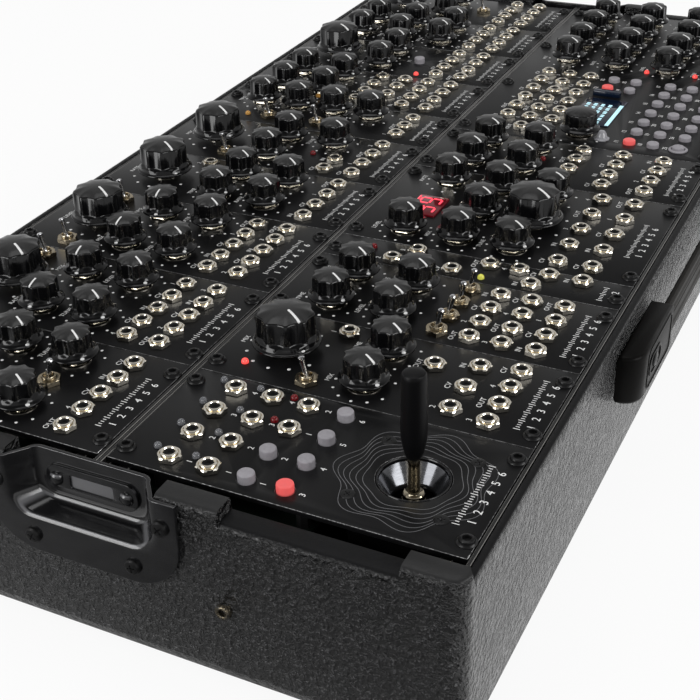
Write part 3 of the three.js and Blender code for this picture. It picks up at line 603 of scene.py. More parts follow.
def crossed_screw(head, high, recess):
    """A pan-head screw: a dome whose middle sinks where the angle is near one of the four arms
    of a cross."""
    angles = np.arange(SCREW_SIDES) * 2 * math.pi / SCREW_SIDES
    arm = np.clip(1.6 - 4.0 * np.abs(np.sin(2 * angles)), 0, 1)
    inner = np.clip((0.5 - PAN_HEAD[:, :1]) / 0.04, 0, 1)
    heights = PAN_HEAD[:, 1:] * high - recess * inner * arm
    heights = np.vstack([0 * arm, heights, 0 * arm + high - recess])
    return revolved(np.vstack([0, PAN_HEAD[:, :1] * head, 0]), heights, SCREW_SIDES)


PLATE_CENTRE = (0, -10.5)
PLATE_DEPTH = 8.9
PLATE_SHEET = 1.3
SLOT = (17.5, 5.4)
TONGUE_DEPTHS = (-10.1, -9.75)
RIVETS = (-14.2, 14.2)
KEEPER_SCREWS = [(-33.0, -10.0, 0), (-20.3, -30.0, 0), (20.3, -30.0, 0), (33.0, -10.0, 0)]
SCREW_TURNS = [0.4, 1.1, 0.2, 0.8]
RIM_ROUNDING = 0.5

trough = rows_to_shape(trough_rows(), around=False, pole_last=True)
slot_outlines = [rounded(37, 11, 5, PLATE_CENTRE, 8), rounded(*SLOT, 0.8, PLATE_CENTRE)]
slotted = plate(slot_outlines, -PLATE_DEPTH - PLATE_SHEET, -PLATE_DEPTH, 0.35)
tongue = plate([rounded(19, 7, 0.6, PLATE_CENTRE)], *TONGUE_DEPTHS, 0.1)
rivet = turned([(0, -0.4), (2.7, -0.4), (2.7, 0.3), (2.3, 1.1), (1.4, 1.65), (0.6, 1.85), (0, 1.9)], 24)
rivets = stamp(rivet, [(x, PLATE_CENTRE[1], -PLATE_DEPTH) for x in RIVETS])
screws = stamp(crossed_screw(3.1, 1.9, 0.9), KEEPER_SCREWS, SCREW_TURNS)
for wall, side in (("left", -1), ("right", 1)):
    node = f"latch_keeper_{wall}"
    origin = (side * KEEPER_FACE, 0, KEEPER_TOP)
    dish = piece(f"{node}.dish", on_wall(trough, wall, origin), painted_steel, "steel",
                 stands_for=[node], crease=50)
    sheet = dish.modifiers.new("sheet", "SOLIDIFY")
    sheet.thickness = KEEPER_SHEET / 1000
    sheet.offset = -1
    rim = dish.modifiers.new("rim", "BEVEL")
    rim.width = RIM_ROUNDING / 1000
    rim.segments = 3
    rim.limit_method = "ANGLE"
    rim.angle_limit = math.radians(60)
    for word, shape, finish, slot in (("slot_plate", together(slotted, rivets), painted_steel, "steel"),
                                      ("tongue", tongue, bare_steel, "chrome"),
                                      ("screws", screws, black_screw, "steel")):
        piece(f"{node}.{word}", on_wall(shape, wall, origin), finish, slot)

# The power inlet in the rear wall. A black plate with a round low-voltage socket, and a
# rocker switch that tilts on a pin. The rocker's two halves are marked with raised dots.

INLET = (190.0, 136.1, 36.0)
INLET_SIZE = (64.0, 30.0)
SOCKET_X = 17.92
ROCKER_X = -15.36
ROCKER_HOLE = (20.6, 12.6)
ROCKER_SIZE = (19.0, 12.0)
ROCKER_DIP, ROCKER_SIDE, ROCKER_KEEL = 0.2, 2.0, 4.8
SOCKET_RING = [(5.0, 0.0), (7.6, 0.0), (7.6, 0.9), (7.1, 1.2), (5.6, 1.2), (5.0, 0.6), (5.0, 0.0)]

rocker_at = (ROCKER_X, 0)
inlet_outline = [rounded(*INLET_SIZE, 2.5), circle(6.0, (SOCKET_X, 0)), rounded(*ROCKER_HOLE, 0.6, rocker_at)]
inlet_face = plate(inlet_outline, -2.0, 0.0, 0.3)
well = plate([rounded(21.6, 13.6, 0.8, rocker_at), rounded(20.8, 12.8, 0.6, rocker_at)], -12.0, -1.2, 0.1)
barrel = turned([(0, -9.5), (6.6, -9.5), (6.6, -1.0), (5.9, -1.0), (5.9, -8.6), (0, -8.6)], 28)
socket_pin = turned([(0, -8.8), (1.2, -8.8), (1.2, -2.4), (0.8, -1.9), (0, -1.8)], 16)
inlet_screw = stamp(crossed_screw(2.6, 1.4, 0.7), [(x, 0, -0.1) for x in (-28.5, 28.5)], [0.3, 0.9])

socket_black = mottled("socket_plastic", (0.012, 0.012, 0.012), (0.35, 3.0), (0.009, 0.009, 0.009),
                       (0.016, 0.016, 0.016), (0.5, 0.42, 0.2), depth=0.02)
nickel = mottled("warm_nickel", (0.8, 0.77, 0.7), (1.3, 4.0), (0.98, 0.94, 0.86), (0.76, 0.7, 0.58),
                 (0.26, 0.1, 0.12), Metallic=1.0)
nickel.relief(nickel.noise(0.5, 2.0), 0.012)

socket_origin = (INLET[0] - SOCKET_X, *INLET[1:])
piece("power_inlet.plate", on_wall(together(inlet_face, well), "rear", INLET), painted_steel, "steel",
      stands_for=["power_inlet_plate"])
piece("power_inlet.barrel", on_wall(together(barrel, turned(SOCKET_RING, 28)), "rear", socket_origin),
      socket_black, "button")
piece("power_inlet.pin", on_wall(socket_pin, "rear", socket_origin), nickel, "chrome")
piece("power_inlet.screws", on_wall(inlet_screw, "rear", INLET), black_screw, "steel")


def rocker_rows():
    """Sections across the rocker, each a rounded rectangle: the top dips in the middle of the
    length as a shallow V and the foot narrows to the pin."""
    along = np.linspace(-1, 1, 17)
    tip, half = ROCKER_SIZE[0] / 2, ROCKER_SIZE[1] / 2
    top = ROCKER_DIP + np.abs(along) ** 1.3
    foot = -ROCKER_SIDE - ROCKER_KEEL * (1 - np.abs(along))
    rows = []
    for share, high, low in zip(along, top, foot):
        section = [(-half, low), (-half, high - 0.5), (-half + 0.4, high - 0.08), (0, high - 0.25),
                   (half - 0.4, high - 0.08), (half, high - 0.5), (half, low)]
        rows.append([(share * tip, y, z) for y, z in section])
    first, last = (np.tile(np.mean(row, axis=0), (1, len(row), 1)) for row in (rows[0], rows[-1]))
    return np.concatenate([first, np.array(rows), last])


ROCKER_TILT = 0.16
ROCKER_PIN = 3.0
ROCKER_RISE = 2.4

rocker_plastic = mottled("rocker_plastic", (0.02, 0.02, 0.021), (2.5, 4.0), (0.015, 0.015, 0.016),
                         (0.03, 0.03, 0.031), (0.32, 0.25, 0.2))
rocker_paint = Finish("rocker_paint", (0.7, 0.7, 0.68), 0.5)
chips = rocker_paint.noise(0.4)
rocker_paint.vary(Base_Color=rocker_paint.between(chips, (0.74, 0.74, 0.72), (0.6, 0.6, 0.58)))
rocker_shape = outward(*rows_to_shape(rocker_rows(), pole_first=True, pole_last=True))
dots = turned([(0, 0), (0.9, 0), (0.7, 0.28), (0, 0.36)], 16)
dots = stamp(dots, [(-6.4, 0, 0.72), (6.4, 0, 0.72), (4.2, 0, 0.45)])
cosine, sine = math.cos(ROCKER_TILT), math.sin(ROCKER_TILT)
tilt = np.array([[cosine, 0, sine], [0, 1, 0], [-sine, 0, cosine]])
rocker_place = (INLET[0] - ROCKER_X, INLET[1] - ROCKER_PIN, INLET[2])
for name, (points, faces), finish, stands in (
        ("grip", rocker_shape, rocker_plastic, ["power_rocker"]), ("dots", dots, rocker_paint, [])):
    tilted = ((points + [0, 0, ROCKER_RISE]) @ tilt.T, faces)
    piece(f"power_rocker.{name}", on_wall(tilted, "rear", rocker_place), finish, "button",
          body="power_rocker", stands_for=stands)

# The bus board on the case floor. A glass-fibre board under green-black mask, with two rows of
# headers from which the modules take their power. Its solid stays as it is.

glass_board = Finish("glass_fibre", (0.006, 0.012, 0.008), 0.4)
weave = glass_board.noise(0.5, 1.0, (4, 1, 1)) * glass_board.noise(0.5, 1.0, (1, 4, 1))
fibres = glass_board.stepped(weave, 0.15, 0.4)
glass_board.vary(Base_Color=glass_board.between(fibres, (0.004, 0.008, 0.0055), (0.01, 0.019, 0.013)))
glass_board.vary(Roughness=0.3 + weave * 0.4)
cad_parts["power_bus_board"].data.materials.clear()
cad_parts["power_bus_board"].data.materials.append(glass_board.material)

# The strap handle on the front wall. Two moulded caps, each with a screw in an oval recess,
# hold the ends of a ribbed strap of dark brown-black rubber over a steel band.

CAP_TOP = 64.0
CAP_HIGH = 21.0
CAP_BACK = -136.4
CAP_FACE = -146.0
CAP_ENDS = (73.5, 122.5)
CAP_SCREW_X = 101.0
CAP_FRAME_X = 94.0
STRAP_REACH = 99.0
STRAP_MIDDLE = (-142.8, 53.5)
STRAP_FACES = (1.7, -1.85)
STRAP_EDGE = 8.45
RIB_HALF, RIB_PERIOD, RIB_DEPTH = 7.9, 3.95, 0.28
SMOOTH_HALF = 1.9
CAP_NOSE = (8.5, 7.6)

rubber = Finish("strap_rubber", (0.012, 0.011, 0.01), 0.4, Specular_IOR_Level=0.12)
pores = rubber.noise(0.5, 3.0)
handled = rubber.noise(14.0, 3.0)
rubber.vary(Base_Color=rubber.between(handled, (0.005, 0.0044, 0.0038), (0.014, 0.0125, 0.0105)))
rubber.vary(Roughness=0.34 + handled * 0.2 + pores * 0.08)
rubber.relief(pores, 0.05)
cap_plastic = Finish("cap_plastic", (0.004, 0.004, 0.004), 0.34, Specular_IOR_Level=0.055)
grain = cap_plastic.noise(0.4, 3.0)
soft = cap_plastic.noise(10.0, 3.0)
cap_plastic.vary(Base_Color=cap_plastic.between(soft, (0.003, 0.0028, 0.0027), (0.007, 0.0066, 0.0062)))
cap_plastic.vary(Roughness=0.28 + grain * 0.14)
cap_plastic.relief(grain, 0.03)


def swept(section, path, closed=False):
    """A flat section of (across, up) pairs carried along a level path, with its ends closed."""
    path, section = np.asarray(path, float), np.asarray(section, float)
    if closed:
        along = np.roll(path, -1, axis=0) - np.roll(path, 1, axis=0)
    else:
        along = np.gradient(path, axis=0)
    along /= np.linalg.norm(along, axis=1, keepdims=True)
    across = np.stack([-along[:, 1], along[:, 0], np.zeros(len(path))], axis=1)
    rows = path[:, None] + section[None, :, :1] * across[:, None] + section[None, :, 1:] * [0, 0, 1.0]
    if closed:
        numbers = np.arange(len(path) * len(section)).reshape(len(path), -1)
        return outward(rows.reshape(-1, 3), skin(np.concatenate([numbers, numbers[:1]])))
    first, last = (np.repeat(rows[k].mean(axis=0)[None, None], len(section), axis=1) for k in (0, -1))
    return outward(*rows_to_shape(np.concatenate([first, rows, last]), pole_first=True, pole_last=True))


def strap_section():
    """A band whose faces fall off toward the edges as a square. On the outer face run ribs, a
    cosine whose period is a quarter of the ribbed height, and its middle is left smooth."""
    up = np.linspace(-RIB_HALF, RIB_HALF, 41)
    ribs = RIB_DEPTH * np.cos(np.abs(up) * 2 * math.pi / RIB_PERIOD) * (np.abs(up) > SMOOTH_HALF)
    edge = np.clip((np.abs(up) - 6.4) / 1.5, 0, 1)
    outer = np.stack([STRAP_FACES[0] + ribs - 0.9 * edge ** 2, up], axis=1)
    inner = np.stack([STRAP_FACES[1] + 0.8 * edge ** 2, up], axis=1)[::-1]
    edges = np.array([(0.5, STRAP_EDGE), (-0.7, STRAP_EDGE)])
    return np.concatenate([outer, edges, inner, edges[::-1] * [1, -1]])


strap_path = [(x, STRAP_MIDDLE[0], STRAP_MIDDLE[1]) for x in np.linspace(STRAP_REACH, -STRAP_REACH, 9)]
piece("handle_strap.band", swept(strap_section(), strap_path), rubber, "rubber", stands_for=["handle_strap"])


def cap_outline():
    """The cap from above: square where the strap enters, and a quarter ellipse at its tip."""
    turns = np.linspace(0, math.pi / 2, 9)
    low, high = CAP_ENDS
    long, deep = CAP_NOSE
    nose = [high - long + long * np.sin(turns), CAP_FACE + deep - deep * np.cos(turns)]
    return np.concatenate([[(low, CAP_BACK), (low, CAP_FACE)], np.stack(nose, axis=1), [(high, CAP_BACK)]])


cap_body = plate([cap_outline()], CAP_TOP - CAP_HIGH, CAP_TOP, 1.5)
oval = rounded(18, 9.5, 4.7, steps=9)
oval_ring = plate([oval, oval * [0.84, 0.74]], -0.5, 0.45, 0.2)
oval_floor = plate([oval * 0.9], -0.4, 0.05, 0.05)
cap_screw = crossed_screw(3.0, 0.9, 0.8)
frame_ring = plate([rounded(36, 18, 3.5), rounded(34.6, 16.6, 2.8)], -0.4, 0.3, 0.15)
for word, side in (("left", -1), ("right", 1)):
    points, faces = cap_body
    node = f"handle_cap_{word}"
    middle, framed = ((side * x, CAP_FACE, CAP_TOP - CAP_HIGH / 2) for x in (CAP_SCREW_X, CAP_FRAME_X))
    recess = together(on_wall(together(oval_ring, oval_floor), "front", middle),
                      on_wall(frame_ring, "front", framed))
    piece(f"{node}.body", outward(points * [side, 1, 1], faces), cap_plastic, "rubber",
          stands_for=[node], crease=50)
    piece(f"{node}.recess", recess, cap_plastic, "rubber")
    piece(f"{node}.screw", on_wall(cap_screw, "front", middle), black_screw, "steel")

# The rails. Four black anodised aluminium extrusions with a raised lip beside the panels and
# a slot for the nuts that take the panels' screws.

RAIL_HALF = 268.86
RAIL_TOP = 69.7
ROW_EDGES = (-130.5, 2.0)
PANEL_HIGH = 128.5

anodised = Finish("black_anodised", (0.006, 0.006, 0.007), 0.2, Metallic=0.4, Specular_IOR_Level=0.6)
drawn = anodised.noise(1.2, 3.0, (0.02, 1, 1))
# The lip's rounded edges get a pale base colour: a painted highlight. The drawn grain is the extrusion's own.
edges = anodised.rounding((0.3, 0.55), (0.85, 0.95))
marks_and_painted_highlight = drawn * 0.05 + edges * 0.7
anodised.vary(Base_Color=anodised.between(marks_and_painted_highlight, (0.004, 0.004, 0.0045), (0.4, 0.39, 0.37)))
anodised.vary(Roughness=0.14 + drawn * 0.14)

# across from the row's edge, and height, with the lip's top and the slot's mouth rounded
RAIL_SECTION = [
    (1.6, -12.0), (-8.4, -12.0), (-8.6, -11.8), (-8.6, -0.2), (-8.4, 0.0), (-4.9, 0.0), (-4.8, -0.1),
    (-4.8, -6.0), (-1.2, -6.0), (-1.2, -0.1), (-1.1, 0.0), (0.4, 0.0), (0.4, 1.85), (0.55, 2.05),
    (0.8, 2.1), (1.4, 2.1), (1.65, 2.05), (1.8, 1.85), (1.8, -11.8),
]
rails = {
    "rail_front": (ROW_EDGES[0], -1), "rail_middle_front": (ROW_EDGES[0] + PANEL_HIGH, 1),
    "rail_middle_rear": (ROW_EDGES[1], -1), "rail_rear": (ROW_EDGES[1] + PANEL_HIGH, 1),
}
for node, (edge_y, outside) in rails.items():
    section = np.array(RAIL_SECTION) * [outside, 1]
    path = [(x, edge_y, RAIL_TOP) for x in np.linspace(-RAIL_HALF, RAIL_HALF, 3)]
    piece(f"{node}.bar", swept(section, path), anodised, "rail", stands_for=[node], crease=50)

# The panels. Seventeen sheets of 2 mm aluminium, anodised satin black, each with its own set
# of controls. Places are shares of the width, from the middle, and of the height.

PITCH = 5.08
ROW_START = -264.16
PANEL_FACE = 72.0
PANEL_GAP = 0.4
JACK_ROW, SECOND_ROW = 0.1494, 0.2638
FOUR = (-0.357, -0.119, 0.119, 0.357)
FIVE = (-0.361, -0.18, 0, 0.18, 0.361)
WIDE_FOUR = (-0.369, -0.123, 0.123, 0.369)
CLOSE_FOUR = (-0.345, -0.115, 0.115, 0.345)
PAIR = (-0.24, 0.24)


def grid(across, up):
    """Every pair of a share across with a share up, in rows from the first share up."""
    return [(u, v) for v in up for u in across]


FOUR_JACKS = grid(FOUR, (SECOND_ROW, JACK_ROW))
FIVE_JACKS = grid(FIVE, (SECOND_ROW, JACK_ROW))
MODULES = [
    dict(name="joystick", row=0, units=12,
         jack=grid(WIDE_FOUR, (0.845, 0.728)) + grid(WIDE_FOUR[2:], (0.617,)),
         button=grid(WIDE_FOUR[:2], (0.617,)) + grid(WIDE_FOUR, (0.506,)),
         moving={"button": [f"joystick_button_{k}" for k in ("mode", "record", "1_lit", "2", "3", "4")]}),
    dict(name="modulator", row=0, units=10, large=[(0, 0.82)], small=grid((-0.236, 0.236), (0.529,)),
         toggle=[(-0.354, 0.685)],
         jack=[(0.36, 0.685), (0.19, 0.386)] + grid((-0.29, 0, 0.29), (SECOND_ROW,))
         + grid((-0.343, -0.114, 0.114, 0.343), (JACK_ROW,)),
         moving={"large": ["modulator_rate_knob"], "small": ["modulator_level_knob", "modulator_crush_knob"],
                 "toggle": ["modulator_toggle"]}),
    dict(name="quad_amplifier", row=0, units=10, small=grid(PAIR, (0.822, 0.617)),
         toggle=grid(CLOSE_FOUR, (0.455,)), jack=grid(CLOSE_FOUR, (0.353, 0.253, JACK_ROW)),
         moving={"small": [f"amplifier_knob_{k}" for k in (1, 2, 3, 4)],
                 "toggle": [f"amplifier_toggle_{k}" for k in (1, 2, 3, 4)]}),
    dict(name="mixer_splitter", row=0, units=4,
         jack=grid((-0.25,), (0.762, 0.555, 0.292)) + grid((0.26,), (0.708, 0.4545, 0.356, 0.258, JACK_ROW))),
    dict(name="effect", row=0, units=16, large=[(0, 0.4327)],
         small=grid((-0.332, 0.332), (0.813, 0.6226, 0.4327)) + [(0, 0.6226)],
         jack=grid((-0.398, -0.199, 0, 0.199, 0.398), (SECOND_ROW, JACK_ROW)),
         moving={"large": ["effect_mix_knob"]}),
    dict(name="voltage_tools", row=0, units=10, small=grid((-0.246, 0.246), (0.813, 0.6148)),
         jack=grid((-0.354, -0.118, 0.118, 0.354), (0.453, 0.302, JACK_ROW))),
    dict(name="sequencer", row=0, units=42,
         jack=grid((-0.38, -0.316, -0.252, -0.188, -0.124, -0.06), (0.845, 0.752, 0.66)) + [(-0.445, 0.752)],
         encoder=[(-0.433, 0.52)],
         button=grid((-0.4436, -0.378, -0.3156, -0.2509, -0.1844, -0.1206, -0.0569), (0.319, 0.228, 0.132))
         + grid((-0.1174, -0.0555), (0.559, 0.465)),
         small=grid((0.06, 0.18, 0.3, 0.42), (0.82, 0.6, 0.38, 0.16)),
         moving={"encoder": ["sequencer_encoder"]}),
    dict(name="wavetable_oscillator", row=1, units=12, large=[(0, 0.84)],
         small=grid((-0.274, 0.274), (0.331, 0.53)), toggle=[(0, 0.327)], jack=grid(FIVE, (JACK_ROW,)),
         moving={"small": ["wavetable_knob_left", "wavetable_knob_right"], "toggle": ["wavetable_toggle"]}),
    *[dict(name=name, row=1, units=12, large=[(0, 0.8)], small=grid((-0.2526, 0.2526), (0.4163, 0.615)),
           toggle=grid((-0.37, 0.37), (0.82,)), jack=FIVE_JACKS, moving={"large": [f"{name}_tuning_knob"]})
      for name in ("oscillator_a", "oscillator_b")],
    dict(name="multimode_filter", row=1, units=10, large=[(0, 0.805)], small=grid(PAIR, (0.327, 0.525)),
         jack=grid(FOUR, (JACK_ROW,)) + [(0.355, 0.69)], moving={"large": ["multimode_filter_cutoff_knob"]}),
    dict(name="lowpass_filter", row=1, units=10, large=[(0, 0.8)],
         small=grid(PAIR, (0.529,)) + [(0.24, 0.331)], toggle=[(-0.325, 0.695)],
         jack=grid(FOUR, (JACK_ROW,)) + grid(FOUR[:2], (SECOND_ROW,)),
         moving={"large": ["lowpass_filter_cutoff_knob"]}),
    dict(name="envelope", row=1, units=8, small=grid((0.2,), (0.82, 0.655, 0.49, 0.325)),
         toggle=grid((-0.27,), (0.72, 0.5)), jack=grid((-0.27, 0, 0.27), (JACK_ROW,))),
    dict(name="matrix_mixer", row=1, units=10, small=grid(PAIR, (0.82, 0.63)),
         jack=grid(FOUR, (0.467, 0.361, 0.255, JACK_ROW))),
    dict(name="slow_oscillator", row=1, units=10, large=[(0, 0.8)], small=grid(PAIR, (0.55,)),
         button=[(0, 0.4)], jack=FOUR_JACKS),
    dict(name="delay", row=1, units=10, small=grid(PAIR, (0.82, 0.62, 0.42)), jack=FOUR_JACKS),
    dict(name="output", row=1, units=10, large=[(0, 0.8)], small=grid(PAIR, (0.55,)), toggle=[(0, 0.39)],
         jack=FOUR_JACKS),
]
KINDS = ("jack", "large", "small", "encoder", "button", "toggle")
starts = [ROW_START, ROW_START]
panels = {}
for module in MODULES:
    panels[module["name"] + "_module"] = module
    width, foot = module["units"] * PITCH, ROW_EDGES[module["row"]]
    module["left"], module["width"], module["foot"] = starts[module["row"]], width, foot
    starts[module["row"]] += width
    middle = module["middle"] = module["left"] + width / 2
    for kind in KINDS:
        places = [(middle + u * width, foot + v * PANEL_HIGH, PANEL_FACE) for u, v in module.get(kind, [])]
        module[kind] = np.array(places).reshape(-1, 3)
    named = module.get("moving", {})
    module["bodies"] = {
        kind: (named.get(kind, []) + ["rack"] * len(module[kind]))[:len(module[kind])] for kind in KINDS}

satin = Finish("satin_black_panel", (0.004, 0.004, 0.0045), 0.3, Specular_IOR_Level=0.13)
fine_grain = satin.noise(0.28, 2.0)
sheen = satin.noise(30.0, 3.0)
# The rounded edges are bare, worn aluminium in dashes, and also a painted highlight, brightest at the left
# end of each row.
outer_end = satin.stepped(satin.part(satin.place, "X"), -0.262, -0.261, 1.0, 0.42)
scratched = satin.stepped(satin.noise(1.1, 1.0), 0.42, 0.58, 0.3)
wear_and_painted_highlight = satin.rounding((0.2, 0.5), (0.85, 0.97)) * outer_end * scratched
satin.vary(Base_Color=satin.between(wear_and_painted_highlight + fine_grain * 0.01, (0.003, 0.003, 0.0034), (0.5, 0.5, 0.5)))
satin.vary(Roughness=0.24 + fine_grain * 0.12 + sheen * 0.06, Metallic=wear_and_painted_highlight * 0.7)
satin.relief(fine_grain, 0.008)

BUTTON_HOLE = 3.3
STICK = (-233.68, -100.495)
STICK_HOLE = 12.6
PLATE_EDGE = 0.22


def panel_outlines(module):
    """The panel's rim and the holes through which its buttons and its stick come."""
    low = np.array([module["left"] + PANEL_GAP / 2, module["foot"]])
    high = low + [module["width"] - PANEL_GAP, PANEL_HIGH]
    outlines = [np.array([low, (high[0], low[1]), high, (low[0], high[1])])]
    outlines += [circle(BUTTON_HOLE, place[:2], 24) for place in module["button"]]
    if module["name"] == "joystick":
        outlines.append(circle(STICK_HOLE, STICK, 64))
    return outlines


for node, module in panels.items():
    sheet_shape = plate(panel_outlines(module), PANEL_FACE - 2, PANEL_FACE, PLATE_EDGE)
    piece(f"{node}.panel", sheet_shape, satin, "panel", stands_for=[node], crease=50)

# The circuit boards behind the panels. Boards under green-black mask, on spacers, carry a
# black jack body, switch or potentiometer behind every control.

BOARD_DROP = 10.0
BOARD_SHEET = 1.6
BOARD_MARGIN = 2.2
BOARD_SHARES = (0.1, 0.93)
JOYSTICK_BOARD_FOOT = 0.42
SPACER_IN = 3.6


def slab(size, edge=0.2):
    """A box with rounded upright edges, its middle at the origin and its foot on zero."""
    return plate([rounded(size[0], size[1], 3 * edge, steps=2)], 0, size[2], edge / 2)


pot_body = slab((10.6, 10.6, 6.4))
BEHIND = {"jack": slab((9.0, 8.6, 7.8)), "large": pot_body, "small": pot_body, "encoder": pot_body,
          "toggle": slab((5.6, 5.6, 5.4))}
spacer = turned([(0, 0), (2.4, 0), (2.4, 8.0), (0, 8.0)], 6)
under = PANEL_FACE - BOARD_DROP
for node, module in panels.items():
    shares = (JOYSTICK_BOARD_FOOT if node == "joystick_module" else BOARD_SHARES[0], BOARD_SHARES[1])
    low, high = (module["foot"] + share * PANEL_HIGH for share in shares)
    half = module["width"] / 2 - BOARD_MARGIN
    board = slab((2 * half, high - low, BOARD_SHEET))
    board = stamp(board, [(module["middle"], (low + high) / 2, under - BOARD_SHEET)])
    piece(f"{node}.board", board, glass_board, "board")
    bodies = [stamp(shape, module[kind] * [1, 1, 0] + [0, 0, under])
              for kind, shape in BEHIND.items() if len(module[kind])]
    corners = ((SPACER_IN - half, low + SPACER_IN), (half - SPACER_IN, high - SPACER_IN))
    bodies.append(stamp(spacer, [(module["middle"] + x, y, under) for x, y in corners]))
    piece(f"{node}.components", together(*bodies), socket_black, "button")

# The jacks. A hexagonal nut of warm nickel holds each threaded bushing, whose bore is dark.
# No two neighbouring nuts stand at the same angle.

def hexed(profile, sides):
    """Turned rows of (radius, height, flat): where flat is 0 the row is a circle, and where it
    is 1 a hexagon, whose reach is its inner radius over the cosine of the angle to a flat."""
    radii, heights, flat = np.array(profile, float).T[..., None]
    angles = np.arange(sides) * 2 * math.pi / sides
    off = (angles + math.pi / 6) % (math.pi / 3) - math.pi / 6
    six = radii * math.cos(math.pi / 6) / np.cos(off)
    return revolved(flat * six + (1 - flat) * radii, heights, sides)


def uneven(module, places, step, start):
    """An angle for each place, steps apart, in the sixth of a turn after which a nut repeats."""
    return np.radians((np.arange(len(places)) * step + module["units"] * start) % 60)


jack_nut = hexed([
    (0, 0.1, 0), (4.4, 0.1, 1), (4.52, 0.22, 1), (4.52, 1.62, 1), (3.96, 2.04, 0), (3.5, 2.06, 0),
    (3.36, 1.55, 0), (3.1, 1.55, 0), (3.08, 2.7, 0), (2.88, 2.92, 0), (2.3, 2.94, 0), (2.04, 2.6, 0),
    (1.86, 0.9, 0), (0, 0.85, 0),
], 24)
jack_bore = turned([(0, 0.9), (1.78, 0.9), (1.82, 2.45), (1.7, 2.45), (1.62, 1.3), (0, 1.2)], 12)
for node, module in panels.items():
    places = module["jack"]
    piece(f"{node}.jack_nuts", stamp(jack_nut, places, uneven(module, places, 37, 11)), nickel, "chrome",
          crease=28)
    piece(f"{node}.jack_bores", stamp(jack_bore, places), socket_black, "button")

# The knobs. Glossy black mouldings with nine hollow flutes above a flared skirt, a domed satin
# top with a white inlaid pointer, and a white dot on the skirt. The pot's nut shows below.

KNOB_LIFT = 3.2
KNOBS = {
    "small": dict(skirt=9.5, base=5.7, foot=7.7, crown=7.4, high=13.9, dome=1.25, flutes=9, depth=0.12),
    "large": dict(skirt=13.2, base=6.4, foot=11.4, crown=11.0, high=17.8, dome=1.9, flutes=9, depth=0.105),
    "encoder": dict(skirt=10.0, base=5.5, foot=8.3, crown=8.0, high=13.6, dome=1.25, flutes=12, depth=0.07),
}
# share of a radius, height above the skirt's foot, the base, the rim or up the dome, and how
# much of the flutes' depth is left
SKIRT_ROWS = [(0.9, 0.1, 0), (0.95, 0, 0), (0.985, 0.1, 0), (1, 0.35, 0), (0.998, 0.75, 0), (0.985, 1.0, 0),
              (0.96, 1.12, 0), (0.945, 1.2, 0)]
FOOT_ROWS = [(1.05, -0.5, 0), (1.025, 0.1, 0.3), (1.005, 0.5, 0.8), (1, 1.0, 1)]
RIM_ROWS = [(1.02, -0.7, 1), (1, -0.35, 1), (0.97, -0.12, 1), (0, -0.3, 0)]
TOP_ROWS = [(0, -0.6, 0), (0.9, -0.5, 1), (0.985, -0.2, 1), (0.985, -0.02, 1), (0.95, 0.1, 1)]
DOME_ROWS = [(0.8, 0.42, 0.8), (0.55, 0.75, 0.4), (0.25, 0.95, 0.1), (0, 1, 0)]
POINTER_REACH = (0.22, 0.93)
REST_POINTER = 148.0
REST_TUNING = 98.0

gloss = mottled("gloss_black_knob", (0.0022, 0.0022, 0.0025), (6.0, 3.0), (0.0016, 0.0016, 0.0019),
                (0.003, 0.003, 0.0034), (0.2, 0.1, 0.08), Specular_IOR_Level=0.3, Coat_Roughness=0.06)
gloss.vary(Coat_Weight=0.04 + gloss.noise(6.0, 3.0) * 0.1)
matt = Finish("matt_knob_top", (0.014, 0.0138, 0.014), 0.36, Specular_IOR_Level=0.42)
spark = matt.noise(0.22, 1.0)
flecks = matt.stepped(spark, 0.3, 0.7)
matt.vary(Base_Color=matt.between(flecks, (0.004, 0.004, 0.004), (0.017, 0.0168, 0.017)))
matt.vary(Roughness=0.26 + spark * 0.12)
matt.relief(spark, 0.02)
white_print = mottled("white_print", (0.8, 0.8, 0.8), (0.3, 2.0), (0.88, 0.88, 0.87), (0.7, 0.7, 0.7),
                      (0.5, 0.4, 0.2))


def fluted(rows, flutes, depth, sides):
    """Turned rows of (radius, height, share). Round the knob the radius falls by depth times
    share times a half sine between ridges, and the ridges keep a narrow flat."""
    angles = np.arange(sides) * 2 * math.pi / sides
    phase = angles * flutes / (2 * math.pi) + 0.5
    hollow = np.clip((np.abs(np.sin(math.pi * phase)) - 0.24) / 0.76, 0, 1) ** 0.8
    radii, heights, shares = np.array(rows, float).T[..., None]
    return revolved(radii * (1 - depth * shares * hollow), heights, sides)


def scaled(rows, radius, base, rise=1.0):
    """Rows with their share of a radius and of a rise above a base turned into millimetres."""
    return [(radius * out, base + rise * up, share) for out, up, share in rows]


def knob_shapes(skirt, base, foot, crown, high, dome, flutes, depth):
    """The grip, the top and the white marks of a knob whose pointer looks to the rear."""
    rim = high - dome
    sides = 8 * flutes if flutes < 12 else 5 * flutes
    grip_rows = [
        (0, base + 0.6, 0), (foot * 0.8, base + 0.6, 0), (foot * 0.84, base - 0.6, 0),
        *scaled(SKIRT_ROWS, skirt, KNOB_LIFT), (foot + 0.38 * (skirt - foot), KNOB_LIFT + 1.6, 0),
        *scaled(FOOT_ROWS, foot, base), *scaled(RIM_ROWS, crown, rim),
    ]
    grip = fluted(grip_rows, flutes, depth, sides)
    top = fluted(scaled(TOP_ROWS, crown, rim) + scaled(DOME_ROWS, crown, rim, dome), flutes, depth, sides)
    along = np.linspace(*POINTER_REACH, 6) * crown
    drop = dome * (along / crown) ** 2.6
    path = np.stack([np.zeros(6), along, high - drop - 0.06], axis=1)
    wide = 0.38 if crown < 9 else 0.48
    line = swept([(-wide, -0.5), (wide, -0.5), (wide, 0.1), (wide * 0.7, 0.16), (-wide * 0.7, 0.16),
                  (-wide, 0.1)], path)
    dot = turned([(0, -0.6), (0.6, -0.5), (0.86, -0.1), (0.78, 0.16), (0.45, 0.34), (0, 0.4)], 14)
    return grip, top, together(line, stamp(dot, [(0, skirt * 0.9, KNOB_LIFT + 1.5)]))


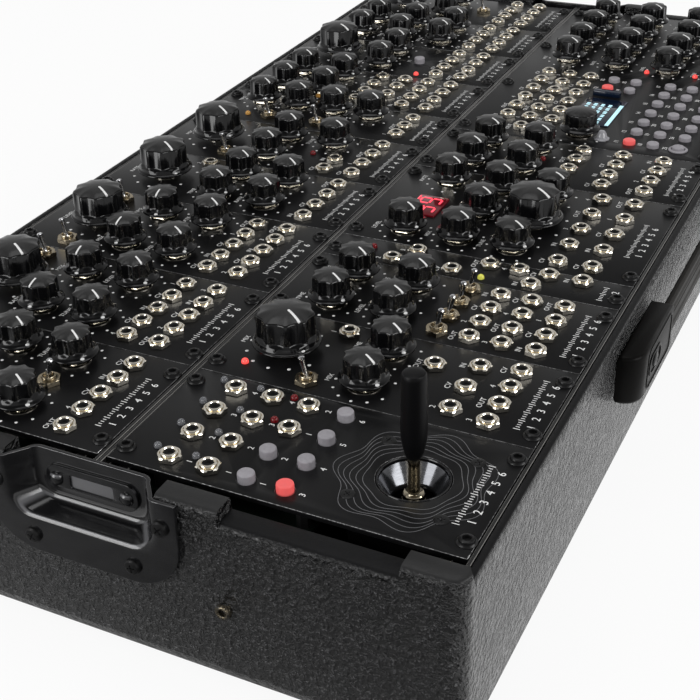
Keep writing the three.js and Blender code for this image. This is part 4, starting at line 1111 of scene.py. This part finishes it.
knob_parts = {kind: knob_shapes(**size) for kind, size in KNOBS.items()}
knob_parts["encoder"] = knob_parts["encoder"][:2]
pot_nut = hexed([
    (0, 0, 0), (6.5, 0, 0), (6.5, 0.3, 0), (6.2, 0.5, 0), (5.5, 0.55, 0), (5.5, 0.6, 1), (5.4, 1.9, 1),
    (4.6, 2.2, 0), (3.1, 2.25, 0), (3.0, 3.0, 0), (0, 3.0, 0),
], 24)


def pointer_turns(module, kind):
    """How far each knob is turned: near its left stop, with a few degrees between neighbours."""
    count = len(module[kind])
    spread = ((np.arange(count) * 5 + module["units"]) % 7 - 3) * 0.8
    angles = REST_POINTER + spread
    if module["name"].startswith("oscillator") and kind == "small":
        angles[2:] = REST_TUNING + spread[2:]
    return np.radians(angles)


KNOB_PARTS = (("grip", gloss), ("top", matt), ("marks", white_print))
for node, module in panels.items():
    fixed = [[], [], []]
    nuts = [stamp(pot_nut, module[kind]) for kind in KNOBS if len(module[kind])]
    for kind in KNOBS:
        for place, turn, body in zip(module[kind], pointer_turns(module, kind), module["bodies"][kind]):
            shapes = [stamp(shape, [place], turn) for shape in knob_parts[kind]]
            if body == "rack":
                for pile, shape in zip(fixed, shapes):
                    pile.append(shape)
                continue
            for shape, (word, finish) in zip(shapes, KNOB_PARTS):
                stands = [body] if word == "grip" else []
                piece(f"{body}.{word}", shape, finish, "knob", body=body, stands_for=stands, crease=40)
    for shapes, (word, finish) in zip(fixed, KNOB_PARTS):
        if shapes:
            piece(f"{node}.knob_{word.rstrip('s')}s", together(*shapes), finish, "knob", crease=40)
    if nuts:
        piece(f"{node}.pot_nuts", together(*nuts), nickel, "chrome", crease=28)

# The push buttons. Translucent grey caps over a lamp, rounded on top. The caps that are lit
# glow coral red. A flange below the panel keeps each cap in its hole.

BUTTON_RADIUS, BUTTON_HIGH, BUTTON_FLANGE = 3.0, 3.0, 4.2
LOW_BUTTON_HIGH = 2.0
STATIC_LIT = {"sequencer": (0, 21)}
RINGED_BUTTON = 14

clouded = mottled("clouded_button", (0.3, 0.29, 0.31), (1.4, 3.0), (0.36, 0.345, 0.37), (0.24, 0.23, 0.25),
                  (0.38, 0.3, 0.2))
clouded.relief(clouded.noise(0.3, 2.0), 0.02)
coral = Finish("lit_button", (0.5, 0.09, 0.09), 0.35, Emission_Strength=0.5)
lamp_glow = coral.noise(2.6, 2.0)
coral.vary(Base_Color=coral.between(lamp_glow, (0.5, 0.1, 0.1), (0.36, 0.06, 0.06)))
above = coral.stepped(coral.part(coral.place, "Z"), 0.0712, 0.0726)
coral.vary(Emission_Color=coral.between(above * (0.6 + lamp_glow * 0.6), (0, 0, 0), (1.0, 0.11, 0.1)))


def button_cap(high):
    """A round cap with a softly domed top and its flange below the panel."""
    radius = BUTTON_RADIUS
    return turned([
        (0, -3.5), (BUTTON_FLANGE, -3.5), (BUTTON_FLANGE, -2.35), (radius, -2.3), (radius, high - 0.8),
        (radius * 0.97, high - 0.35), (radius * 0.88, high - 0.1), (radius * 0.6, high), (radius * 0.3, high),
        (0, high),
    ], 24)


cap, low_cap = button_cap(BUTTON_HIGH), button_cap(LOW_BUTTON_HIGH)
BUTTON_LOOKS = {"caps": (clouded, "button"), "caps_lit": (coral, "lit_button")}
for node, module in panels.items():
    still = {"caps": [], "caps_lit": []}
    for index, (place, body) in enumerate(zip(module["button"], module["bodies"]["button"])):
        lit = body.endswith("lit") or index in STATIC_LIT.get(module["name"], ())
        word = "caps_lit" if lit else "caps"
        if body == "rack":
            still[word].append(place)
        else:
            piece(f"{body}.cap", stamp(cap, [place]), *BUTTON_LOOKS[word], body=body, stands_for=[body])
    for word, places in still.items():
        if places:
            still_cap = low_cap if module["name"] == "sequencer" else cap
            piece(f"{node}.{word}", stamp(still_cap, places), *BUTTON_LOOKS[word])

foot_ring = turned([(3.3, 0), (4.6, 0), (4.6, 0.5), (4.2, 0.8), (3.5, 0.8), (3.3, 0.5), (3.3, 0)], 28)
sequencer = panels["sequencer_module"]
ringed = stamp(foot_ring, [sequencer["button"][RINGED_BUTTON]])
piece("sequencer_module.button_ring", ringed, clouded, "button")

# The toggle switches. A gilt hexagonal nut and a gilt bushing, out of which leans a chromed
# bat lever with a round tip. The lever swings about a ball inside the bushing.

TOGGLE_PIVOT = 1.4
TOGGLE_LEAN = math.radians(12)

gilt = mottled("gilt_brass", (0.76, 0.7, 0.58), (1.1, 4.0), (0.56, 0.49, 0.37), (0.28, 0.23, 0.15),
               (0.24, 0.13, 0.18), Metallic=1.0)
chrome = mottled("bright_chrome", (0.7, 0.7, 0.71), (2.0, 3.0), (0.78, 0.78, 0.79), (0.6, 0.6, 0.62),
                 (0.1, 0.06, 0.1), Metallic=1.0)

toggle_base = hexed([
    (0, 0, 0), (4.55, 0, 1), (4.7, 0.15, 1), (4.7, 1.75, 1), (4.2, 2.1, 0.2), (3.1, 2.0, 0), (2.75, 2.1, 0),
    (2.72, 2.9, 0), (2.55, 3.2, 0), (2.3, 3.2, 0), (2.12, 2.8, 0), (2.05, 0.4, 0), (0, 0.3, 0),
], 24)
lever_shape = turned([
    (0, -1.7), (1.0, -1.4), (1.55, -0.6), (1.55, 0.2), (1.2, 0.9), (1.02, 1.5), (0.95, 3.0), (1.0, 5.5),
    (1.14, 7.5), (1.28, 8.2), (1.22, 8.75), (0.9, 9.08), (0.45, 9.19), (0, 9.2),
], 20)


def leaning(shape, lean):
    """Leans a shape to the rear about the origin, or to the front for a lean below zero."""
    points, faces = shape
    cosine, sine = math.cos(lean), math.sin(lean)
    y = points[:, 1] * cosine + points[:, 2] * sine
    z = -points[:, 1] * sine + points[:, 2] * cosine
    return np.column_stack([points[:, 0], y, z]), faces


levers = {"rear": leaning(lever_shape, TOGGLE_LEAN), "front": leaning(lever_shape, -TOGGLE_LEAN)}
for node, module in panels.items():
    places = module["toggle"]
    if not len(places):
        continue
    bushings = stamp(toggle_base, places, uneven(module, places, 23, 5))
    piece(f"{node}.toggle_bushings", bushings, gilt, "chrome", crease=28)
    still = []
    for pivot, body in zip(places + [0, 0, TOGGLE_PIVOT], module["bodies"]["toggle"]):
        if body == "rack":
            still.append(pivot)
            continue
        way = "front" if body.startswith(("amplifier", "wavetable")) else "rear"
        piece(f"{body}.lever", stamp(levers[way], [pivot]), chrome, "chrome", body=body, stands_for=[body])
    if still:
        piece(f"{node}.toggle_levers", stamp(levers["rear"], still), chrome, "chrome")

# The joystick. A soft black grip on a dark plated stem comes out of a satin dish. Below the
# dish the stem hangs in a steel ring, and the ring in a box screwed to the panel.

STICK_PIVOT = 58.0
GIMBAL_BOX = (34, 34, 2.0)
PIN_START = 10.9

satin_dish = mottled("satin_dish", (0.1, 0.102, 0.108), (3.0, 3.0, (1, 1, 6)), (0.06, 0.062, 0.067),
                     (0.125, 0.128, 0.136), (0.14, 0.09, 0.09), Metallic=0.9)
dark_plate = mottled("dark_gilt_stem", (0.4, 0.34, 0.23), (1.6, 3.0), (0.66, 0.6, 0.47), (0.34, 0.28, 0.19),
                     (0.12, 0.06, 0.1), Metallic=1.0)
soft_grip = mottled("soft_grip", (0.003, 0.003, 0.0032), (0.4, 3.0), (0.0016, 0.0016, 0.0019),
                    (0.004, 0.004, 0.0044), (0.4, 0.34, 0.12), depth=0.02, Specular_IOR_Level=0.12)


def at_stick(shape, height):
    """The shape on the stick's axis, raised to a height."""
    return stamp(shape, [(*STICK, height)])


dish_shape = turned([
    (7.3, -8.9), (8.4, -8.9), (12.55, -3.2), (12.55, -1.2), (12.3, -1.0), (11.6, -1.1), (7.8, -7.2),
    (7.4, -7.6), (7.3, -8.9),
], 64)
collar_shape = turned([
    (11.5, -1.3), (12.5, -1.3), (12.5, -0.3), (12.2, 0.12), (11.8, 0.1), (11.55, -0.25), (11.5, -1.3),
], 64)
piece("joystick_module.dish", at_stick(dish_shape, PANEL_FACE), satin_dish, "panel", crease=45)
piece("joystick_module.dish_collar", at_stick(collar_shape, PANEL_FACE), gloss, "panel", crease=45)
box_walls = plate([rounded(*GIMBAL_BOX), rounded(30, 30, 1.0)], -25.6, -9.2, 0.2)
box_foot = plate([rounded(*GIMBAL_BOX)], -27, -25, 0.2)
gimbal_box = at_stick(together(box_walls, box_foot), PANEL_FACE)
piece("joystick_module.gimbal_box", gimbal_box, painted_steel, "steel")

ring_shape = turned([
    (7.5, -2.2), (10.6, -2.2), (11.0, -1.8), (11.0, 1.8), (10.6, 2.2), (7.5, 2.2), (7.5, -2.2),
], 48)
pin_shape = turned([(0, 0), (1.3, 0), (1.4, 0.2), (1.4, 5.0), (0, 5.0)], 16)
pins = [on_wall(pin_shape, wall, (side * PIN_START, 0, 0)) for wall, side in (("left", -1), ("right", 1))]
stem_shape = turned([
    (0, -2.2), (5.0, -2.2), (5.2, -2.0), (5.2, 2.0), (5.0, 2.2), (2.7, 2.3), (2.1, 2.8), (2.1, 5.2),
    (4.1, 5.3), (4.3, 5.5), (4.1, 5.9), (3.7, 6.3), (3.6, 8.3), (3.3, 8.6), (2.4, 8.7), (2.1, 8.9),
    (2.1, 23.2), (0, 23.2),
], 32)
grip_shape = turned([
    (0, 22.6), (2.3, 22.6), (2.62, 22.8), (2.85, 23.3), (3.35, 25.2), (3.9, 27.9), (4.22, 30.3), (4.4, 33.5),
    (4.42, 37.5), (4.36, 42.0), (4.2, 47.5), (4.06, 52.6), (3.95, 53.7), (3.6, 54.25), (3.0, 54.45),
    (1.5, 54.58), (0, 54.6),
], 40)
for node, word, shape, finish, slot in (
        ("joystick_gimbal_ring", "ring", together(ring_shape, *pins), painted_steel, "steel"),
        ("joystick_stick", "stem", stem_shape, dark_plate, "chrome"),
        ("joystick_stick", "grip", grip_shape, soft_grip, "rubber")):
    stands = [] if word == "stem" else [node]
    piece(f"{node}.{word}", at_stick(shape, STICK_PIVOT), finish, slot, body=node, stands_for=stands)

# The signal lamps: 3 mm domes of clear, red and amber resin beside the controls. A few are
# lit. The larger clear lens beside the sequencer's knob covers a sensor.

LAMP_DOME = [
    (0, -1.0), (1.42, -1.0), (1.42, 0.4), (1.34, 0.9), (1.08, 1.35), (0.66, 1.66), (0.28, 1.78), (0, 1.8),
]
SENSOR_DOME = [(0, -0.5), (3.9, -0.5), (3.9, 0.5), (3.3, 0.8), (2.6, 1.6), (2.2, 3.2), (1.4, 4.2), (0, 4.5)]
LAMP_OFFSET = (4.1, 7.2, 0.0)


def glowing(name, color, rough, clouds, shades, lights, **constants):
    """A finish whose one noise carries both its colour and its own light from first to second."""
    made = Finish(name, color, rough, **constants)
    cloud = made.noise(*clouds)
    made.vary(Base_Color=made.between(cloud, *shades), Emission_Color=made.between(cloud, *lights))
    return made


def resin(name, dark, light, glow, transmission=0.0, rough=0.12):
    """Coloured resin, a little deeper in colour toward one side."""
    return glowing(name, light, rough, (1.1, 2.0), (light, dark), (light, dark), Emission_Strength=glow,
                   Transmission_Weight=transmission, IOR=1.45)


def on_panels(x, y):
    """A place on the panels' face, measured from the lower left corner of the front row."""
    return x + ROW_START, y + ROW_EDGES[0], PANEL_FACE


clear = resin("clear_resin", (0.3, 0.31, 0.34), (0.62, 0.63, 0.66), 0.0, 0.72, 0.05)
milky = resin("milky_lens", (0.26, 0.26, 0.28), (0.5, 0.5, 0.53), 0.0, 0.25, 0.12)
# The unlit red and amber domes still carry a faint glow: painted light, for light caught in the resin.
LAMPS = {
    "red": (resin("red_resin", (0.06, 0.002, 0.003), (0.2, 0.006, 0.01), 0.1),
            [(41.5, 86.8), (56.5, 86.8), (257.3, 180.5), (292, 73.5), (175.6, 110.1)]),
    "red_lit": (resin("red_resin_lit", (0.7, 0.03, 0.03), (1.0, 0.12, 0.1), 0.8),
                [(71.2, 115.1), (428.6, 58.8), (430.5, 32.7), (381.2, 177.6), (500, 235)]),
    "amber_lit": (resin("amber_resin_lit", (0.4, 0.38, 0.03), (0.6, 0.6, 0.12), 0.5), [(166.7, 58.3)]),
    "amber": (resin("amber_resin", (0.3, 0.13, 0.02), (0.6, 0.33, 0.08), 0.08),
              [(293.4, 237.6), (292.9, 195.5), (330, 214)]),
}
lamp_dome = turned(LAMP_DOME, 20)
for word, (finish, places) in LAMPS.items():
    piece(f"signal_lamps.{word}", stamp(lamp_dome, [on_panels(*at) for at in places]), finish, "lit_button")
beside = panels["joystick_module"]["jack"][:8] + LAMP_OFFSET
piece("signal_lamps.clear", stamp(lamp_dome, beside), clear, "button")
sensor = stamp(turned(SENSOR_DOME, 28), [on_panels(327.5, 55)])
piece("sequencer_module.sensor_lens", sensor, milky, "button")

# The displays. The sequencer has a dark blue window, with pairs of pale blocks and one bright
# bar along its lower edge. The effect's is a ruby window over two numerals of seven bars.

LIGHT_LIFT = {"sequencer": 0.38, "effect": 0.88}


def window(module, left, right, low, high):
    """The lower left and upper right corners of a window given in shares of its panel."""
    return [np.array([module["middle"] + across * module["width"], module["foot"] + up * PANEL_HIGH])
            for across, up in ((left, low), (right, high))]


def pane(low, high, lift):
    """A sheet of glass let into a panel, standing proud of it by lift."""
    return plate([rounded(*(high - low), 0.8, (low + high) / 2)], PANEL_FACE - 0.6, PANEL_FACE + lift, 0.15)


def light(width, height, rounding=0.3):
    """A flat bar of light."""
    return plate([rounded(width, height, rounding, steps=2)], 0, 0.1, 0.02)


window_glass = mottled("display_glass", (0.004, 0.009, 0.024), (20.0, 2.0), (0.003, 0.006, 0.018),
                       (0.006, 0.014, 0.034), (0.06, 0.04, 0.05))
cell_light = glowing(
    "display_cells", (0.4, 0.7, 0.8), 0.4, (0.5, 1.0), ((0.5, 0.78, 0.84), (0.3, 0.56, 0.66)),
    ((0.62, 0.88, 0.93), (0.34, 0.6, 0.7)), Emission_Strength=0.7)
ruby_glass = glowing(
    "ruby_glass", (0.05, 0.001, 0.004), 0.12, (9.0, 2.0), ((0.03, 0.001, 0.002), (0.12, 0.004, 0.01)),
    ((0.12, 0.0, 0.004), (0.55, 0.008, 0.03)), Emission_Strength=0.16)
ruby_glass.vary(Roughness=0.08 + ruby_glass.noise(9.0, 2.0) * 0.1)
numeral_light = glowing(
    "numeral_bars", (0.8, 0.05, 0.08), 0.4, (0.8, 1.0), ((0.8, 0.06, 0.09), (0.5, 0.02, 0.04)),
    ((1.0, 0.08, 0.12), (0.8, 0.03, 0.06)), Emission_Strength=1.5)

low, high = window(sequencer, -0.369, -0.192, 0.437, 0.605)
piece("sequencer_module.display_glass", pane(low, high, 0.4), window_glass, "panel")
lit_left, lit_right = low[0] + 1.2, low[0] + 31.0
face = PANEL_FACE + LIGHT_LIFT["sequencer"]
across = (np.linspace(lit_left + 1.6, lit_right - 3.6, 6)[:, None] + [0, 1.9]).ravel()
up = np.linspace(low[1] + 7.0, high[1] - 3.0, 4)
cells = stamp(light(1.3, 1.9, 0.2), [(x, y, face) for y in up for x in across])
bar = stamp(light(lit_right - lit_left, 2.0, 0.2), [((lit_left + lit_right) / 2, low[1] + 1.4, face)])
piece("sequencer_module.display_cells", together(cells, bar), cell_light, "lit_button")
slot_block = plate([rounded(4.6, 14.5, 0.8, steps=3)], -0.3, 2.5, 0.4)
piece("sequencer_module.card_slot", stamp(slot_block, [on_panels(387.6, 69.5)]), window_glass, "panel")

low, high = window(panels["effect_module"], -0.14, 0.1, 0.76, 0.87)
piece("effect_module.display_glass", pane(low, high, 0.9), ruby_glass, "lit_button")
face = PANEL_FACE + LIGHT_LIFT["effect"]
flat_bar, tall_bar = light(4.2, 1.0), light(1.0, 4.0)
uprights = [(a, k) for a in (-2.6, 2.6) for k in (-2.4, 2.4)][1:]
numerals = []
for x in (low[0] + 5.2, low[0] + 14.2):
    y = (low[1] + high[1]) / 2
    numerals.append(stamp(flat_bar, [(x, y + k, face) for k in (-4.8, 0, 4.8)]))
    numerals.append(stamp(tall_bar, [(x + a, y + k, face) for a, k in uprights]))
numerals.append(stamp(light(17.0, 0.7), [((low[0] + high[0]) / 2, high[1] - 0.8, face)]))
piece("effect_module.display_numerals", together(*numerals), numeral_light, "lit_button")

# The panels' screws. Black socket heads in dished cup washers, two or more at each end of
# every panel, and four flat screws round the joystick's dish.

SCREW_ROWS = (3.0, 125.5)
SCREW_START = 7.5
DISH_SCREWS = [(x, y) for x in (-16.2, 16.2) for y in (-16.0, 16.0)]

cup = turned([
    (0, 0), (3.3, 0), (3.45, 0.15), (3.3, 0.5), (2.7, 0.95), (2.55, 0.9), (2.5, 1.25), (2.3, 1.6), (1.8, 1.8),
    (1.5, 1.8), (1.4, 1.6), (1.35, 0.7), (0, 0.6),
], 24)
flat_head = crossed_screw(2.6, 0.35, 0.5)
for node, module in panels.items():
    units = module["units"]
    pitches = [0] if units <= 4 else [0, units - 3]
    if units > 20:
        pitches[1:1] = [13, 26]
    steps = [module["left"] + SCREW_START + k * PITCH for k in pitches]
    at = [(x, module["foot"] + y, PANEL_FACE) for y in SCREW_ROWS for x in steps]
    piece(f"{node}.screws", stamp(cup, at, np.arange(len(at)) * 0.7), black_screw, "steel")
flats = stamp(flat_head, [(x, y, 0) for x, y in DISH_SCREWS], [0.3, 1.0, 0.6, 1.4])
piece("joystick_module.dish_screws", at_stick(flats, PANEL_FACE), black_screw, "steel")

# The print on the panels. White screen-printed ink: dots round every knob, plain marks beside
# the jacks, a number and a rule at each panel's foot, and fine grey waves round the joystick.

INK_LIFT = 0.015
INK = 0.03
INK_SPREAD = 0.012
SIZE_OVER_HEIGHT = 1.4
# the radius on which a knob's dots stand, and the size of each dot
DOT_RINGS = {"small": (11.2, 0.6), "large": (15.2, 0.72), "encoder": (12.4, 0.6)}
lettered = {}


def lettering(text, tall):
    """Plain capitals or digits, centred, as thin solid ink."""
    if (text, tall) not in lettered:
        curve = bpy.data.curves.new("text", "FONT")
        curve.body = text
        curve.size = tall * SIZE_OVER_HEIGHT
        curve.align_x = "CENTER"
        curve.align_y = "CENTER"
        curve.extrude = INK / 2
        curve.resolution_u = 2
        curve.offset = INK_SPREAD
        lettered[text, tall] = flat_shape(curve)
    return lettered[text, tall]


def ink_line(path, wide, closed=False):
    """A thin printed line along a path."""
    section = [(-wide / 2, 0), (wide / 2, 0), (wide / 2, INK), (-wide / 2, INK)]
    return swept(section, path, closed)


ink_height = PANEL_FACE + INK_LIFT
MARKS = ("IN", "CV", "1", "OUT", "2", "CV", "IN", "3", "OUT", "4", "CV")
KNOB_MARKS = ("LEVEL", "RATE", "MIX", "TIME", "TUNE")
FOOT_STEP = 5.4
FOOT_DIGITS, FOOT_RULE = 4.9, 9.3
ticks = np.radians(np.linspace(-150, 150, 11) + 90)
tick_circle = np.stack([np.cos(ticks), np.sin(ticks), np.zeros(11)], axis=1)


def word_at(text, tall, place, across, up):
    """A word across and up from a place on the panels' face."""
    return stamp(lettering(text, tall), [place + np.array([across, up, INK_LIFT + INK / 2])])


for number, (node, module) in enumerate(panels.items(), start=1):
    ink = []
    for kind, (radius, size) in DOT_RINGS.items():
        dot = turned([(0, 0), (size, 0), (size - 0.02, INK), (0, INK)], 10)
        for index, place in enumerate(module[kind]):
            ink.append(stamp(dot, place + tick_circle * radius + [0, 0, INK_LIFT]))
            ink.append(word_at(KNOB_MARKS[(index + number) % len(KNOB_MARKS)], 2.0, place, 0, radius + 2.6))
    below = module["name"] == "joystick"
    for index, place in enumerate(module["jack"]):
        word = str(index % 4 + 1) if below else MARKS[(index + number) % len(MARKS)]
        ink.append(word_at(word, 2.2, place, *((1.0, -7.2) if below else (0, 6.5))))
    for index, place in enumerate(module["button"]):
        word, up = (str(index + 1), -6.3) if below else (str(index + 11), 6.3)
        ink.append(word_at(word, 2.3, place, 0, up))
    middle, foot = module["middle"], module["foot"]
    count = max(2, min(6, int(module["width"] / 7.5)))
    for k in range(count):
        x = middle + (k - (count - 1) / 2) * FOOT_STEP
        ink.append(word_at(str(k + 1), 3.0, (x, foot, PANEL_FACE), 0, FOOT_DIGITS))
    for k in range(4 * count + 1):
        x = middle + (k - 2 * count) * FOOT_STEP / 4
        half = 1.25 if k % 4 == 0 else 0.7
        ends = [(x, foot + FOOT_RULE + y, ink_height) for y in (-half, half)]
        ink.append(ink_line(ends, 0.34))
    piece(f"{node}.print", together(*ink), white_print, "panel", crease=60)

grey_print = mottled("grey_print", (0.12, 0.12, 0.125), (3.0, 3.0), (0.16, 0.16, 0.165), (0.07, 0.07, 0.075),
                     (0.5, 0.45, 0.1))
WAVES, WAVE_POINTS = 6, 160
waves = []
angles = np.linspace(0, 2 * math.pi, WAVE_POINTS, endpoint=False)
for k in range(WAVES):
    reach = 16.0 + 1.9 * k + (0.5 + 0.28 * k) * np.sin(7 * angles + 0.5 * k)
    x = np.clip(STICK[0] + reach * np.cos(angles), ROW_START + 1.2, ROW_START + 59.7)
    y = STICK[1] + reach * np.sin(angles)
    path = np.stack([x, y, np.full(WAVE_POINTS, ink_height - 0.006)], axis=1)
    waves.append(ink_line(path, 0.22, closed=True))
piece("joystick_module.wave_print", together(*waves), grey_print, "panel", crease=60)
